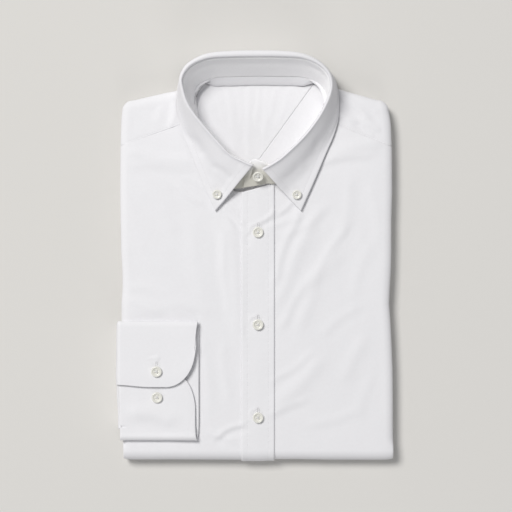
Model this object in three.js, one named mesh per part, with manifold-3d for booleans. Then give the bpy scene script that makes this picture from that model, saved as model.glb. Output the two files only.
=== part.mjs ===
// A long-sleeved dress shirt, folded for the shelf: the fronts lie face up over a rounded bundle of
// hidden layers, the collar stands at the far end, and one cuff is laid over the near left side.
// Millimetres, +Z up, +Y towards the collar, +X towards the wearer's left side.

import * as THREE from "three";
import { mergeVertices } from "three/addons/utils/BufferGeometryUtils.js";
import Module from "manifold-3d";

const wasm = await Module();
wasm.setup();

// Cloth
const CLOTH = 1.2; // wall of a single panel, pressed
const COLLAR_CLOTH = 1.4; // two layers and interlining
const CUFF_CLOTH = 1.4;
const SLEEVE_CLOTH = 3.0; // both layers of the flattened sleeve
const SEAM_GAP = 0.3;

// Folded bundle
const BUNDLE_HEIGHT = 20;
const ROLL_WIDTH = 8; // how far in from the side the upper roll starts
const ROLL_RADIUS = 5; // half the height of one folded stack
const ROLL_END = 140; // degrees from the top to where the cloth tucks in
const FOLD_RADIUS = BUNDLE_HEIGHT / 2; // bottom fold
const FOLD_LINE = -186.5; // y where the fronts start to turn under
const FOLD_END = 140; // degrees that the fronts turn
const HIDDEN_CLEARANCE = 0.5; // between a panel and the layers inside it
const LOWER_STACK_TOP = -53; // y where the turned-up tail ends
const LOWER_STACK_STEP = 1.0; // the tail is this much wider on the left side

// Placket
const PLACKET_CENTRE = 2.8;
const PLACKET_WIDTH = 32;
const PLACKET_RISE = 0.2; // stands this much further off the fronts than a seam
const PLACKET_UNDERLAP = 1.6; // how far each front runs in under the strip's right edge

const degrees = THREE.MathUtils.degToRad;
const lerp = THREE.MathUtils.lerp;

// ---------------------------------------------------------------------------------------------
// Tables of places, read straight between their rows
// ---------------------------------------------------------------------------------------------

// Value of one named column at a place along another, straight between rows.
function readTable(rows, key, value, at) {
  if (at <= rows[0][key]) {
    return rows[0][value];
  }
  for (let i = 1; i < rows.length; i += 1) {
    if (at <= rows[i][key]) {
      const share = (at - rows[i - 1][key]) / (rows[i][key] - rows[i - 1][key]);
      return lerp(rows[i - 1][value], rows[i][value], share);
    }
  }
  return rows[rows.length - 1][value];
}

// Sides of the bundle, bottom to top.
const SIDES = [
  { y: -197, right: -126.2, left: 133.1 },
  { y: -150, right: -128.4, left: 132.9 },
  { y: -107, right: -128.6, left: 132.3 },
  { y: -78, right: -128.6, left: 131.3 },
  { y: -60, right: -128.6, left: 130.4 },
  { y: -46, right: -128.6, left: 129.3 },
  { y: -30, right: -127.4, left: 129.8 },
  { y: -16, right: -127.6, left: 130.6 },
  { y: 5, right: -129.0, left: 131.2 },
  { y: 35, right: -129.6, left: 131.5 },
  { y: 60, right: -129.8, left: 132.2 },
  { y: 107, right: -129.5, left: 131.6 },
  { y: 126, right: -129.0, left: 130.9 },
  { y: 146, right: -128.0, left: 128.8 },
];

// Shoulder fold, from the right shoulder over the back neck to the left shoulder.
const SHOULDERS = [
  { x: -128, y: 145.5 },
  { x: -119, y: 149.5 },
  { x: -71, y: 160.5 },
  { x: -64, y: 168 },
  { x: -54, y: 176.5 },
  { x: -34, y: 182 },
  { x: 40, y: 182 },
  { x: 60, y: 178 },
  { x: 70, y: 169 },
  { x: 77, y: 161.5 },
  { x: 101, y: 154.8 },
  { x: 122, y: 149 },
  { x: 130, y: 145.5 },
];

// Upper edge of the fronts: yoke seam, neckline, yoke seam.
const FRONT_TOP = [
  { x: -130, y: 106 },
  { x: -57, y: 131.7 },
  { x: -55.5, y: 123 },
  { x: -53, y: 112 },
  { x: -48, y: 99 },
  { x: -40, y: 82 },
  { x: -33.5, y: 73.5 },
  { x: -27, y: 67 },
  { x: -20, y: 62.8 },
  { x: -12, y: 61.5 },
  { x: 3, y: 65.5 },
  { x: 18.7, y: 70 },
  { x: 30, y: 77 },
  { x: 37, y: 84 },
  { x: 44, y: 92 },
  { x: 51, y: 101.5 },
  { x: 57, y: 111 },
  { x: 61, y: 120 },
  { x: 63.5, y: 131.5 },
  { x: 65, y: 132.5 },
  { x: 132, y: 105 },
];

// Back part of the neckline, from the right seam round to the left seam.
const BACK_NECK = [
  { x: -57, y: 132.3 },
  { x: -59, y: 148 },
  { x: -56.5, y: 163 },
  { x: -44, y: 171.2 },
  { x: 0, y: 172.8 },
  { x: 46, y: 172 },
  { x: 63, y: 166 },
  { x: 69.5, y: 151 },
  { x: 66, y: 133.2 },
];

// Largest folds of the fronts, as soft ridges: both ends, half width and height.
const RIDGES = [
  { x1: -24, y1: 20, x2: -17, y2: -62, width: 7, height: 1.1 },
  { x1: -120, y1: -42, x2: -96, y2: -52, width: 6, height: 1.0 },
  { x1: -116, y1: 100, x2: -66, y2: 92, width: 6, height: 0.9 },
  { x1: 26, y1: -34, x2: 50, y2: 24, width: 8, height: 1.3 },
  { x1: 46, y1: -56, x2: 74, y2: -4, width: 8, height: 1.2 },
  { x1: 26, y1: -138, x2: 56, y2: -106, width: 8, height: 1.1 },
  { x1: 76, y1: 98, x2: 112, y2: 108, width: 7, height: 1.0 },
  { x1: 88, y1: -112, x2: 102, y2: -84, width: 7, height: 0.8 },
];

function ridgeHeight(x, y) {
  let height = 0;
  for (const fold of RIDGES) {
    const length = Math.hypot(fold.x2 - fold.x1, fold.y2 - fold.y1);
    const along = ((x - fold.x1) * (fold.x2 - fold.x1) + (y - fold.y1) * (fold.y2 - fold.y1)) / length;
    const across = ((x - fold.x1) * (fold.y2 - fold.y1) - (y - fold.y1) * (fold.x2 - fold.x1)) / length;
    const past = Math.max(0, -along, along - length);
    height += fold.height * Math.exp(-(across * across + past * past) / (fold.width * fold.width));
  }
  return height;
}

// Soft rise of the outer cloth above the bundle's flat top.
function topHeight(x, y) {
  const right = readTable(SIDES, "y", "right", y);
  const left = readTable(SIDES, "y", "left", y);
  const inset = Math.min(x - right, left - x, y - FOLD_LINE);
  const fade = THREE.MathUtils.smoothstep(inset, 0, 2 * ROLL_WIDTH);
  return BUNDLE_HEIGHT + fade * ridgeHeight(x, y);
}

// ---------------------------------------------------------------------------------------------
// Solids from rows of points
// ---------------------------------------------------------------------------------------------

function closedGeometry(points, triangles) {
  const positions = new Float32Array(points.length * 3);
  points.forEach((point, i) => point.toArray(positions, 3 * i));
  let volume = 0;
  const cross = new THREE.Vector3();
  for (const [a, b, c] of triangles) {
    volume += points[a].dot(cross.crossVectors(points[b], points[c]));
  }
  const outward = volume < 0 ? triangles.map(([a, b, c]) => [a, c, b]) : triangles;
  const geometry = new THREE.BufferGeometry();
  geometry.setAttribute("position", new THREE.BufferAttribute(positions, 3));
  geometry.setIndex(outward.flat());
  return geometry;
}

// A wall of cloth between two sheets that hold the same rows and columns of points.
function wallGeometry(outer, inner) {
  const rows = outer.length;
  const columns = outer[0].length;
  const sheet = rows * columns;
  const points = [...outer.flat(), ...inner.flat()];
  const triangles = [];
  const quad = (a, b, c, d) => triangles.push([a, b, c], [a, c, d]);
  for (let i = 0; i < rows - 1; i += 1) {
    for (let j = 0; j < columns - 1; j += 1) {
      const corner = i * columns + j;
      triangles.push([corner, corner + 1, corner + columns + 1]);
      triangles.push([corner, corner + columns + 1, corner + columns]);
      triangles.push([sheet + corner, sheet + corner + columns + 1, sheet + corner + 1]);
      triangles.push([sheet + corner, sheet + corner + columns, sheet + corner + columns + 1]);
    }
  }
  const rim = [];
  for (let j = 0; j < columns - 1; j += 1) {
    rim.push(j);
  }
  for (let i = 0; i < rows - 1; i += 1) {
    rim.push(i * columns + columns - 1);
  }
  for (let j = columns - 1; j > 0; j -= 1) {
    rim.push((rows - 1) * columns + j);
  }
  for (let i = rows - 1; i > 0; i -= 1) {
    rim.push(i * columns);
  }
  rim.forEach((start, k) => {
    const end = rim[(k + 1) % rim.length];
    quad(end, start, sheet + start, sheet + end);
  });
  return closedGeometry(points, triangles);
}

// A solid through closed rings of the same number of points, with a fan at either end.
function ringGeometry(rings) {
  const count = rings[0].length;
  const points = rings.flat();
  const triangles = [];
  for (let i = 0; i < rings.length - 1; i += 1) {
    for (let j = 0; j < count; j += 1) {
      const next = (j + 1) % count;
      triangles.push([i * count + j, i * count + next, (i + 1) * count + next]);
      triangles.push([i * count + j, (i + 1) * count + next, (i + 1) * count + j]);
    }
  }
  for (const [ring, first] of [[0, false], [rings.length - 1, true]]) {
    const middle = new THREE.Vector3();
    rings[ring].forEach((point) => middle.addScaledVector(point, 1 / count));
    points.push(middle);
    for (let j = 0; j < count; j += 1) {
      const a = ring * count + j;
      const b = ring * count + ((j + 1) % count);
      triangles.push(first ? [a, b, points.length - 1] : [b, a, points.length - 1]);
    }
  }
  return closedGeometry(points, triangles);
}

// Points of a sheet moved a distance along its own normal, which turns from rows to columns by the
// right hand.
function movedSheet(sheet, distance) {
  const rows = sheet.length;
  const columns = sheet[0].length;
  return sheet.map((row, i) => row.map((point, j) => {
    const before = sheet[Math.max(i - 1, 0)][j];
    const after = sheet[Math.min(i + 1, rows - 1)][j];
    const down = new THREE.Vector3().subVectors(after, before);
    const over = new THREE.Vector3().subVectors(row[Math.min(j + 1, columns - 1)], row[Math.max(j - 1, 0)]);
    const normal = new THREE.Vector3().crossVectors(down, over).normalize();
    return point.clone().addScaledVector(normal, distance);
  }));
}

function toManifold(geometry) {
  const merged = mergeVertices(geometry, 1e-4);
  return new wasm.Manifold(new wasm.Mesh({
    numProp: 3,
    vertProperties: new Float32Array(merged.attributes.position.array),
    triVerts: new Uint32Array(merged.index.array),
  }));
}

function fromManifold(solid) {
  const mesh = solid.getMesh();
  const geometry = new THREE.BufferGeometry();
  geometry.setAttribute("position", new THREE.BufferAttribute(mesh.vertProperties, 3));
  geometry.setIndex(new THREE.BufferAttribute(mesh.triVerts, 1));
  return geometry;
}

const shirt = new THREE.Group();
const SHIRTING = { color: 0xeeedf1, roughness: 0.85, metalness: 0 };
const BUTTON = { color: 0xdedccb, roughness: 0.35, metalness: 0 };

function addMesh(name, geometry, finish, position = [0, 0, 0], tilt = 0) {
  const mesh = new THREE.Mesh(geometry, new THREE.MeshStandardMaterial(finish));
  mesh.name = name;
  mesh.position.set(...position);
  mesh.rotation.x = tilt;
  shirt.add(mesh);
}

// ---------------------------------------------------------------------------------------------
// Fronts and placket: cloth that lies on the bundle, rolls over the side and turns at the bottom
// ---------------------------------------------------------------------------------------------

const FRONT_ROWS = [0, 0.05, 0.13, 0.22, 0.31, 0.4, 0.49, 0.58, 0.67, 0.76, 0.85, 0.93, 1];
const FOLD_ANGLES = [30, 60, 90, 115, FOLD_END];
const ROLL_ANGLES = [25, 50, 75, 95, 118, ROLL_END];

// Point on the outer cloth: `depth` is how far below the outer face, `turn` the angle round the fold.
function skinPoint(x, y, depth, turn) {
  if (turn > 0) {
    const radius = FOLD_RADIUS - depth;
    const angle = degrees(turn);
    return new THREE.Vector3(x, FOLD_LINE - radius * Math.sin(angle), FOLD_RADIUS + radius * Math.cos(angle));
  }
  return new THREE.Vector3(x, y, topHeight(x, y) - depth);
}

// Columns of a front from its inner edge to where it tucks in at the side.
function frontColumns(flat, side, thickness) {
  const sign = side === "left" ? 1 : -1;
  const columns = flat.map((x) => ({ x, past: 0, depth: thickness }));
  for (const angle of ROLL_ANGLES) {
    const turn = degrees(angle);
    columns.push({
      x: null,
      past: sign * ((ROLL_WIDTH - thickness) * Math.sin(turn) - ROLL_WIDTH),
      depth: ROLL_RADIUS - (ROLL_RADIUS - thickness) * Math.cos(turn),
    });
  }
  return columns;
}

function frontSheet(flat, side, thickness) {
  const rows = [];
  const place = (column, y) => (column.x === null ? readTable(SIDES, "y", side, y) + column.past : column.x);
  for (const share of FRONT_ROWS) {
    rows.push(frontColumns(flat, side, thickness).map((column) => {
      const top = readTable(FRONT_TOP, "x", "y", place(column, 107)) - SEAM_GAP;
      const y = lerp(top, FOLD_LINE, share);
      return skinPoint(place(column, y), y, column.depth, 0);
    }));
  }
  for (const turn of FOLD_ANGLES) {
    rows.push(frontColumns(flat, side, thickness).map((column) => (
      skinPoint(place(column, FOLD_LINE), FOLD_LINE, column.depth, turn))));
  }
  return rows;
}

const placketLeftEdge = PLACKET_CENTRE + PLACKET_WIDTH / 2;
const rightFrontEdge = placketLeftEdge - PLACKET_UNDERLAP - SEAM_GAP;
const leftFrontEdge = placketLeftEdge - PLACKET_UNDERLAP;
const FRONT_RIGHT_FLAT = [
  rightFrontEdge, 3, -5, -12, -20, -27, -33.5, -40, -48, -53, -55.5, -57, -66, -78, -91, -105, -118,
];
const FRONT_LEFT_FLAT = [
  leftFrontEdge, 24, 30, 37, 44, 51, 57, 61, 63.5, 65, 74, 85, 97, 109, 119,
];

addMesh("front_right", wallGeometry(
  frontSheet(FRONT_RIGHT_FLAT, "right", 0),
  frontSheet(FRONT_RIGHT_FLAT, "right", CLOTH),
), SHIRTING);
addMesh("front_left", wallGeometry(
  frontSheet(FRONT_LEFT_FLAT, "left", 0),
  frontSheet(FRONT_LEFT_FLAT, "left", CLOTH),
), SHIRTING);

// The placket lies on both fronts, so its sheet is theirs moved out.
function placketSheet(lift) {
  const columns = [-0.5, -0.25, 0, 0.25, 0.5].map((share) => PLACKET_CENTRE + share * PLACKET_WIDTH);
  const rows = FRONT_ROWS.map((share) => columns.map((x) => {
    const y = lerp(readTable(FRONT_TOP, "x", "y", x) - SEAM_GAP, FOLD_LINE, share);
    return skinPoint(x, y, -lift - PLACKET_RISE, 0);
  }));
  for (const turn of FOLD_ANGLES) {
    rows.push(columns.map((x) => skinPoint(x, FOLD_LINE, -lift - PLACKET_RISE, turn)));
  }
  return rows;
}

addMesh("placket", wallGeometry(placketSheet(SEAM_GAP + CLOTH), placketSheet(SEAM_GAP)), SHIRTING);

// ---------------------------------------------------------------------------------------------
// Yoke: a band from the front seams and the back neck over the shoulder fold
// ---------------------------------------------------------------------------------------------

const YOKE_CORNER = 11; // radius of the bundle's shoulder corners, seen from above
const YOKE_SIDE_STEPS = 4;
const YOKE_CORNER_STEPS = 5;
const YOKE_BACK_STEPS = 22;
const SLOPE_REACH = 4; // the fold's direction is taken this far to either side
const YOKE_SHARES = [0, 0.35, 0.7];
const aboveSeam = (x) => readTable(FRONT_TOP, "x", "y", x) + SEAM_GAP;

// Outline of the bundle round the shoulders, from the right front seam to the left one,
// each with its outward direction.
function shoulderOutline() {
  const path = [];
  const cornerOf = (side, sign) => {
    const x = readTable(SIDES, "y", side, 146) - sign * YOKE_CORNER;
    return { x, y: readTable(SHOULDERS, "x", "y", x) - YOKE_CORNER };
  };
  const right = cornerOf("right", -1);
  const left = cornerOf("left", 1);
  const seamRight = aboveSeam(right.x - YOKE_CORNER);
  const seamLeft = aboveSeam(left.x + YOKE_CORNER);
  for (let i = 0; i < YOKE_SIDE_STEPS; i += 1) {
    const y = lerp(seamRight, right.y, i / YOKE_SIDE_STEPS);
    path.push({ x: readTable(SIDES, "y", "right", y), y, outX: -1, outY: 0 });
  }
  for (let i = 0; i < YOKE_CORNER_STEPS; i += 1) {
    const turn = degrees(90 * (i / YOKE_CORNER_STEPS));
    const outX = -Math.cos(turn);
    const outY = Math.sin(turn);
    path.push({ x: right.x + YOKE_CORNER * outX, y: right.y + YOKE_CORNER * outY, outX, outY });
  }
  for (let i = 0; i <= YOKE_BACK_STEPS; i += 1) {
    const x = lerp(right.x, left.x, i / YOKE_BACK_STEPS);
    const ahead = readTable(SHOULDERS, "x", "y", x + SLOPE_REACH);
    const behind = readTable(SHOULDERS, "x", "y", x - SLOPE_REACH);
    const slope = (ahead - behind) / (2 * SLOPE_REACH);
    const size = Math.hypot(1, slope);
    path.push({ x, y: readTable(SHOULDERS, "x", "y", x), outX: -slope / size, outY: 1 / size });
  }
  for (let i = 1; i <= YOKE_CORNER_STEPS; i += 1) {
    const turn = degrees(90 * (1 - i / YOKE_CORNER_STEPS));
    const outX = Math.cos(turn);
    const outY = Math.sin(turn);
    path.push({ x: left.x + YOKE_CORNER * outX, y: left.y + YOKE_CORNER * outY, outX, outY });
  }
  for (let i = 1; i <= YOKE_SIDE_STEPS; i += 1) {
    const y = lerp(left.y, seamLeft, i / YOKE_SIDE_STEPS);
    path.push({ x: readTable(SIDES, "y", "left", y), y, outX: 1, outY: 0 });
  }
  return path;
}

// Where each place on that outline meets the yoke's inner edge: its seams and the back neck.
const YOKE_INNER = [
  { at: 0, x: -110 },
  { at: 0.1, x: -100 },
  { at: 0.2, x: -88 },
  { at: 0.3, x: -66 },
  ...BACK_NECK.map(({ x, y }, i) => ({ at: 0.34 + 0.33 * (i / (BACK_NECK.length - 1)), x, y })),
  { at: 0.71, x: 74 },
  { at: 0.8, x: 94 },
  { at: 0.9, x: 104 },
  { at: 1, x: 112 },
].map(({ at, x, y }) => ({ at, x, y: y ?? aboveSeam(x) }));

function yokeSheet(thickness) {
  const path = shoulderOutline();
  return path.map((station, i) => {
    const at = i / (path.length - 1);
    const inner = new THREE.Vector2();
    inner.x = readTable(YOKE_INNER, "at", "x", at);
    inner.y = readTable(YOKE_INNER, "at", "y", at);
    const outer = new THREE.Vector2();
    outer.x = station.x - ROLL_WIDTH * station.outX;
    outer.y = station.y - ROLL_WIDTH * station.outY;
    const row = [...YOKE_SHARES, 1].map((share) => {
      const place = inner.clone().lerp(outer, share);
      const y = station.outY === 0 ? Math.max(place.y, aboveSeam(place.x)) : place.y;
      return new THREE.Vector3(place.x, y, BUNDLE_HEIGHT - thickness);
    });
    for (const angle of ROLL_ANGLES) {
      const turn = degrees(angle);
      const past = (ROLL_WIDTH - thickness) * Math.sin(turn) - ROLL_WIDTH;
      const height = BUNDLE_HEIGHT - ROLL_RADIUS + (ROLL_RADIUS - thickness) * Math.cos(turn);
      const x = station.x + past * station.outX;
      const y = station.y + past * station.outY;
      row.push(new THREE.Vector3(x, Math.max(y, aboveSeam(x)), height));
    }
    return row;
  });
}

addMesh("yoke", wallGeometry(yokeSheet(0), yokeSheet(CLOTH)), SHIRTING);

// ---------------------------------------------------------------------------------------------
// Hidden layers: one rounded solid, grooved where its folds show at the edges
// ---------------------------------------------------------------------------------------------

// Height of each ring, how far in it lies where nothing covers it, and the stack it is in.
const LAYERS = [
  { z: 0, inset: 3.4, upper: false },
  { z: 1.0, inset: 1.0, upper: false },
  { z: 2.4, inset: 0.3, upper: false },
  { z: 3.2, inset: 1.6, upper: false },
  { z: 4.0, inset: 0.2, upper: false },
  { z: 5.6, inset: 0.1, upper: false },
  { z: 6.4, inset: 1.5, upper: false },
  { z: 7.2, inset: 0.4, upper: false },
  { z: 8.8, inset: 1.6, upper: false },
  { z: 9.8, inset: 4.6, upper: false },
  { z: 12.2, inset: 6.0, upper: true },
  { z: 14.6, inset: 3.4, upper: true },
  { z: 16.6, inset: 4.0, upper: true },
  { z: 17.8, inset: 6.4, upper: true },
  { z: 18.3, inset: 12.0, upper: true },
];
const CORE_CORNER = 12;
const CORE_SIDE_STEPS = 9;
const CORE_END_STEPS = 12;
const CORE_CORNER_STEPS = 4;
const CORE_BOTTOM_STEPS = 6;
const BOTTOM_CORNER = 5;
const UNDER_TURN = 3.2; // the lower levels lie this much further in, inside the fronts' turn
const FOLD_INNER = FOLD_RADIUS - CLOTH - HIDDEN_CLEARANCE;

function layerRing({ z, inset, upper }) {
  const dip = Math.min(1, Math.abs(z - FOLD_RADIUS) / FOLD_INNER);
  const bottom = FOLD_LINE + 1 - FOLD_INNER * Math.sqrt(1 - dip * dip);
  const covered = upper ? inset : inset + UNDER_TURN;
  const sideAt = (side, sign, y) => {
    const wide = !upper && side === "left" ? LOWER_STACK_STEP : 0;
    const step = wide * THREE.MathUtils.smoothstep(-y, -LOWER_STACK_TOP - 3, -LOWER_STACK_TOP + 5);
    const turned = THREE.MathUtils.smoothstep(-y, -FOLD_LINE - 6, -FOLD_LINE - 1.5);
    const cover = lerp(inset, covered + step, turned);
    return readTable(SIDES, "y", side, y) + sign * (step - cover);
  };
  const points = [];
  const corner = (x, y, from) => {
    for (let i = 1; i < CORE_CORNER_STEPS; i += 1) {
      const turn = degrees(from - 90 * (i / CORE_CORNER_STEPS));
      points.push(new THREE.Vector3(x + CORE_CORNER * Math.cos(turn), y + CORE_CORNER * Math.sin(turn), z));
    }
  };
  const topAt = (x) => readTable(SHOULDERS, "x", "y", x) - inset;
  const topRight = { x: sideAt("right", -1, 146) + CORE_CORNER, y: topAt(-116) - CORE_CORNER };
  const topLeft = { x: sideAt("left", 1, 146) - CORE_CORNER, y: topAt(118) - CORE_CORNER };
  const levels = [bottom + BOTTOM_CORNER, FOLD_LINE + 1.5, FOLD_LINE + 6, FOLD_LINE + 20];
  for (let i = 0; i < CORE_SIDE_STEPS; i += 1) {
    levels.push(lerp(-145, 130, i / (CORE_SIDE_STEPS - 1)));
  }
  levels[0] = Math.min(levels[0], FOLD_LINE + 1);
  for (const y of levels) {
    points.push(new THREE.Vector3(sideAt("right", -1, y), y, z));
  }
  corner(topRight.x, topRight.y, 180);
  for (let i = 0; i <= CORE_END_STEPS; i += 1) {
    const x = lerp(topRight.x, topLeft.x, i / CORE_END_STEPS);
    points.push(new THREE.Vector3(x, topAt(x), z));
  }
  corner(topLeft.x, topLeft.y, 90);
  for (const y of [...levels].reverse()) {
    points.push(new THREE.Vector3(sideAt("left", 1, y), y, z));
  }
  const endLeft = sideAt("left", 1, FOLD_LINE) - BOTTOM_CORNER;
  const endRight = sideAt("right", -1, FOLD_LINE) + BOTTOM_CORNER;
  for (let i = 0; i <= CORE_BOTTOM_STEPS; i += 1) {
    points.push(new THREE.Vector3(lerp(endLeft, endRight, i / CORE_BOTTOM_STEPS), bottom, z));
  }
  return points;
}

// The neck hollow goes down to the layers that the inner yoke lies on.
const NECK_FLOOR = 11.6;
const NECK_MARGIN = 1.2; // the hollow is this much wider than the neckline
const NECK_CENTRE = new THREE.Vector2(3, 120);

function neckPlug() {
  const outline = new THREE.Shape();
  const front = FRONT_TOP.filter(({ x }) => x > -57 && x < 65);
  const ring = [...front, ...BACK_NECK.slice().reverse()];
  const placed = ring.map(({ x, y }) => {
    const out = new THREE.Vector2(x, y).sub(NECK_CENTRE);
    return out.setLength(out.length() + NECK_MARGIN).add(NECK_CENTRE);
  });
  outline.setFromPoints(placed);
  const plug = new THREE.ExtrudeGeometry(outline, { depth: BUNDLE_HEIGHT, bevelEnabled: false });
  plug.translate(0, 0, NECK_FLOOR);
  plug.deleteAttribute("normal");
  plug.deleteAttribute("uv");
  return plug;
}

const foldedLayers = toManifold(ringGeometry(LAYERS.map(layerRing))).subtract(toManifold(neckPlug()));
addMesh("folded_layers", fromManifold(foldedLayers), SHIRTING);

// ---------------------------------------------------------------------------------------------
// Inner yoke, seen through the neck: two pieces joined on a slanting seam
// ---------------------------------------------------------------------------------------------

const LINING_REST = NECK_FLOOR + SEAM_GAP + CLOTH; // outer face of the lying piece
const LINING_RISE = 3.6; // the left piece climbs this much towards the left neck
const NECK_HOLLOW = [
  { y: 76, right: -31, left: 24 },
  { y: 85, right: -38, left: 33 },
  { y: 97, right: -44, left: 43 },
  { y: 112, right: -49.5, left: 53 },
  { y: 130, right: -53, left: 60 },
  { y: 148, right: -54, left: 63 },
  { y: 157, right: -52, left: 61 },
  { y: 163, right: -46, left: 57 },
];
const SLANT_SEAM = [
  { y: 76, x: -8.5 },
  { y: 163, x: 54.5 },
];

function liningSheet(side, thickness) {
  const shares = [0, 0.25, 0.5, 0.75, 1];
  return NECK_HOLLOW.map((row) => {
    const seam = readTable(SLANT_SEAM, "y", "x", row.y);
    const from = side === "right" ? row.right : seam + SEAM_GAP / 2;
    const to = side === "right" ? seam - SEAM_GAP / 2 : Math.max(row.left, seam + 1);
    return shares.map((share) => {
      const climb = side === "right" ? 0 : LINING_RISE * share * share;
      return new THREE.Vector3(lerp(from, to, share), row.y, LINING_REST + climb - thickness);
    });
  });
}

addMesh("yoke_lining_right", wallGeometry(liningSheet("right", 0), liningSheet("right", CLOTH)), SHIRTING);
addMesh("yoke_lining_left", wallGeometry(liningSheet("left", 0), liningSheet("left", CLOTH)), SHIRTING);

// Strip round the inside of the back neck: inner and outer edge of each station.
const STRIP_CLOTH = 1.0;
const STRIP_LOW = 15.8;
const STRIP_HIGH = 18.2;
const NECK_STRIP = [
  { innerX: -53.4, innerY: 140, outerX: -56.8, outerY: 140 },
  { innerX: -55.0, innerY: 152, outerX: -57.8, outerY: 152.6 },
  { innerX: -51.6, innerY: 161.2, outerX: -55.0, outerY: 163.2 },
  { innerX: -43.5, innerY: 164.4, outerX: -43.2, outerY: 170 },
  { innerX: -20, innerY: 165, outerX: -20, outerY: 171 },
  { innerX: 0, innerY: 165.2, outerX: 0, outerY: 171.6 },
  { innerX: 22, innerY: 165.4, outerX: 22, outerY: 171.4 },
  { innerX: 46, innerY: 165.6, outerX: 46, outerY: 170.8 },
  { innerX: 57, innerY: 164.6, outerX: 59, outerY: 166.4 },
  { innerX: 64, innerY: 155.6, outerX: 66, outerY: 156.4 },
  { innerX: 66, innerY: 147, outerX: 67.8, outerY: 147 },
];

function stripSheet(thickness) {
  return NECK_STRIP.map((row) => [0, 0.5, 1].map((share) => new THREE.Vector3(
    lerp(row.innerX, row.outerX, share),
    lerp(row.innerY, row.outerY, share),
    lerp(STRIP_LOW, STRIP_HIGH, share) - thickness,
  )));
}

addMesh("neck_strip", wallGeometry(stripSheet(0), stripSheet(STRIP_CLOTH)), SHIRTING);

// ---------------------------------------------------------------------------------------------
// Collar: a stand that leans back from the neckline and a leaf that falls over it
// ---------------------------------------------------------------------------------------------

// From the right front end round the back neck to the left front end: the stand's foot, the crest
// on its inner side, the leaf's edge, how wide the roll of the crest is, and how much of the way
// to the edge the leaf is steep.
const COLLAR = [
  { foot: [-6, 64.8, 21.2], crest: [-1.3, 86.8, 39.6], edge: [-38.3, 43.1, 23.6], roll: 3.6, steep: 0.8 },
  { foot: [-15, 62.6, 21.2], crest: [-10.5, 90.6, 39.8], edge: [-42.6, 53, 23.6], roll: 3.6, steep: 0.7 },
  { foot: [-26.5, 67.4, 21.2], crest: [-22.4, 96.5, 40], edge: [-48.6, 66.5, 23.6], roll: 3.6, steep: 0.72 },
  { foot: [-35, 76.4, 21.2], crest: [-31.8, 105.8, 40.8], edge: [-54.4, 80.5, 23.6], roll: 3.6, steep: 0.8 },
  { foot: [-43, 89.4, 21.2], crest: [-41.2, 116.4, 41.6], edge: [-60.6, 95.5, 23.6], roll: 3.6, steep: 0.88 },
  { foot: [-50, 105, 21.2], crest: [-49.2, 125.7, 43], edge: [-66.6, 110, 23.6], roll: 3.6, steep: 0.93 },
  { foot: [-54.8, 121, 21.2], crest: [-56, 133.9, 44], edge: [-71.6, 124.6, 23.6], roll: 3.6, steep: 0.95 },
  { foot: [-57, 136, 21.2], crest: [-62.6, 144.4, 45], edge: [-74.6, 139, 23.6], roll: 3.6, steep: 0.95 },
  { foot: [-58.6, 150, 21.2], crest: [-66.7, 156.6, 46], edge: [-75, 153, 23.2], roll: 3.6, steep: 0.95 },
  { foot: [-57.4, 161, 21.2], crest: [-68, 167.3, 47], edge: [-73.9, 166, 16], roll: 3.6, steep: 0.95 },
  { foot: [-50.5, 167.4, 21.2], crest: [-61.2, 178, 48], edge: [-68.6, 181, 9], roll: 4.4, steep: 0.95 },
  { foot: [-40, 171.2, 21.2], crest: [-45, 185.4, 48.6], edge: [-49.6, 191, 6], roll: 5.6, steep: 0.97 },
  { foot: [-18, 172.2, 21.2], crest: [-20, 187.2, 49], edge: [-20.6, 193.6, 5], roll: 5.9, steep: 0.98 },
  { foot: [2.5, 172.8, 21.2], crest: [2.5, 187.5, 49], edge: [2.5, 194.2, 5], roll: 5.9, steep: 0.98 },
  { foot: [22, 172.4, 21.2], crest: [24, 187.4, 49], edge: [24.6, 193.8, 5], roll: 5.7, steep: 0.98 },
  { foot: [45, 171.8, 21.2], crest: [45.4, 185.8, 48.8], edge: [48.6, 191, 6], roll: 4.8, steep: 0.97 },
  { foot: [57.5, 168.2, 21.2], crest: [60, 179.6, 48.2], edge: [66, 183.4, 8.6], roll: 4, steep: 0.95 },
  { foot: [65.4, 161.5, 21.2], crest: [68.2, 171.4, 47.4], edge: [76.2, 172.4, 13], roll: 3.6, steep: 0.95 },
  { foot: [69, 149.5, 21.2], crest: [70.6, 161.5, 46.8], edge: [79.6, 159.5, 21], roll: 3.6, steep: 0.95 },
  { foot: [66.4, 135, 21.2], crest: [68.8, 151.6, 45.6], edge: [80.8, 146, 23.6], roll: 3.6, steep: 0.95 },
  { foot: [61.6, 121.5, 21.2], crest: [62.7, 137.8, 44], edge: [79.8, 131, 23.6], roll: 3.6, steep: 0.95 },
  { foot: [56, 109.6, 21.2], crest: [56, 127.2, 42.6], edge: [75.6, 116, 23.6], roll: 3.6, steep: 0.93 },
  { foot: [48.5, 98.2, 21.2], crest: [45.4, 113.8, 41], edge: [69.2, 101, 23.6], roll: 3.6, steep: 0.9 },
  { foot: [38.4, 85.8, 21.2], crest: [31.8, 100.4, 39.6], edge: [61.8, 83.5, 23.6], roll: 3.6, steep: 0.76 },
  { foot: [28, 76.2, 21.4], crest: [22.4, 92.4, 39.4], edge: [55.4, 68.5, 23.6], roll: 3.6, steep: 0.64 },
  { foot: [18, 70.4, 22.6], crest: [14.4, 86.8, 39], edge: [49.8, 56, 23.6], roll: 3.6, steep: 0.62 },
  { foot: [11, 68.2, 23], crest: [9.5, 82.9, 38.6], edge: [44.1, 43.1, 23.6], roll: 3.6, steep: 0.64 },
];
const LEAF_STATIONS = 48;
const STAND_STATIONS = 40;
const STAND_TOP_GAP = 2.0; // below the leaf's inner edge

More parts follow.
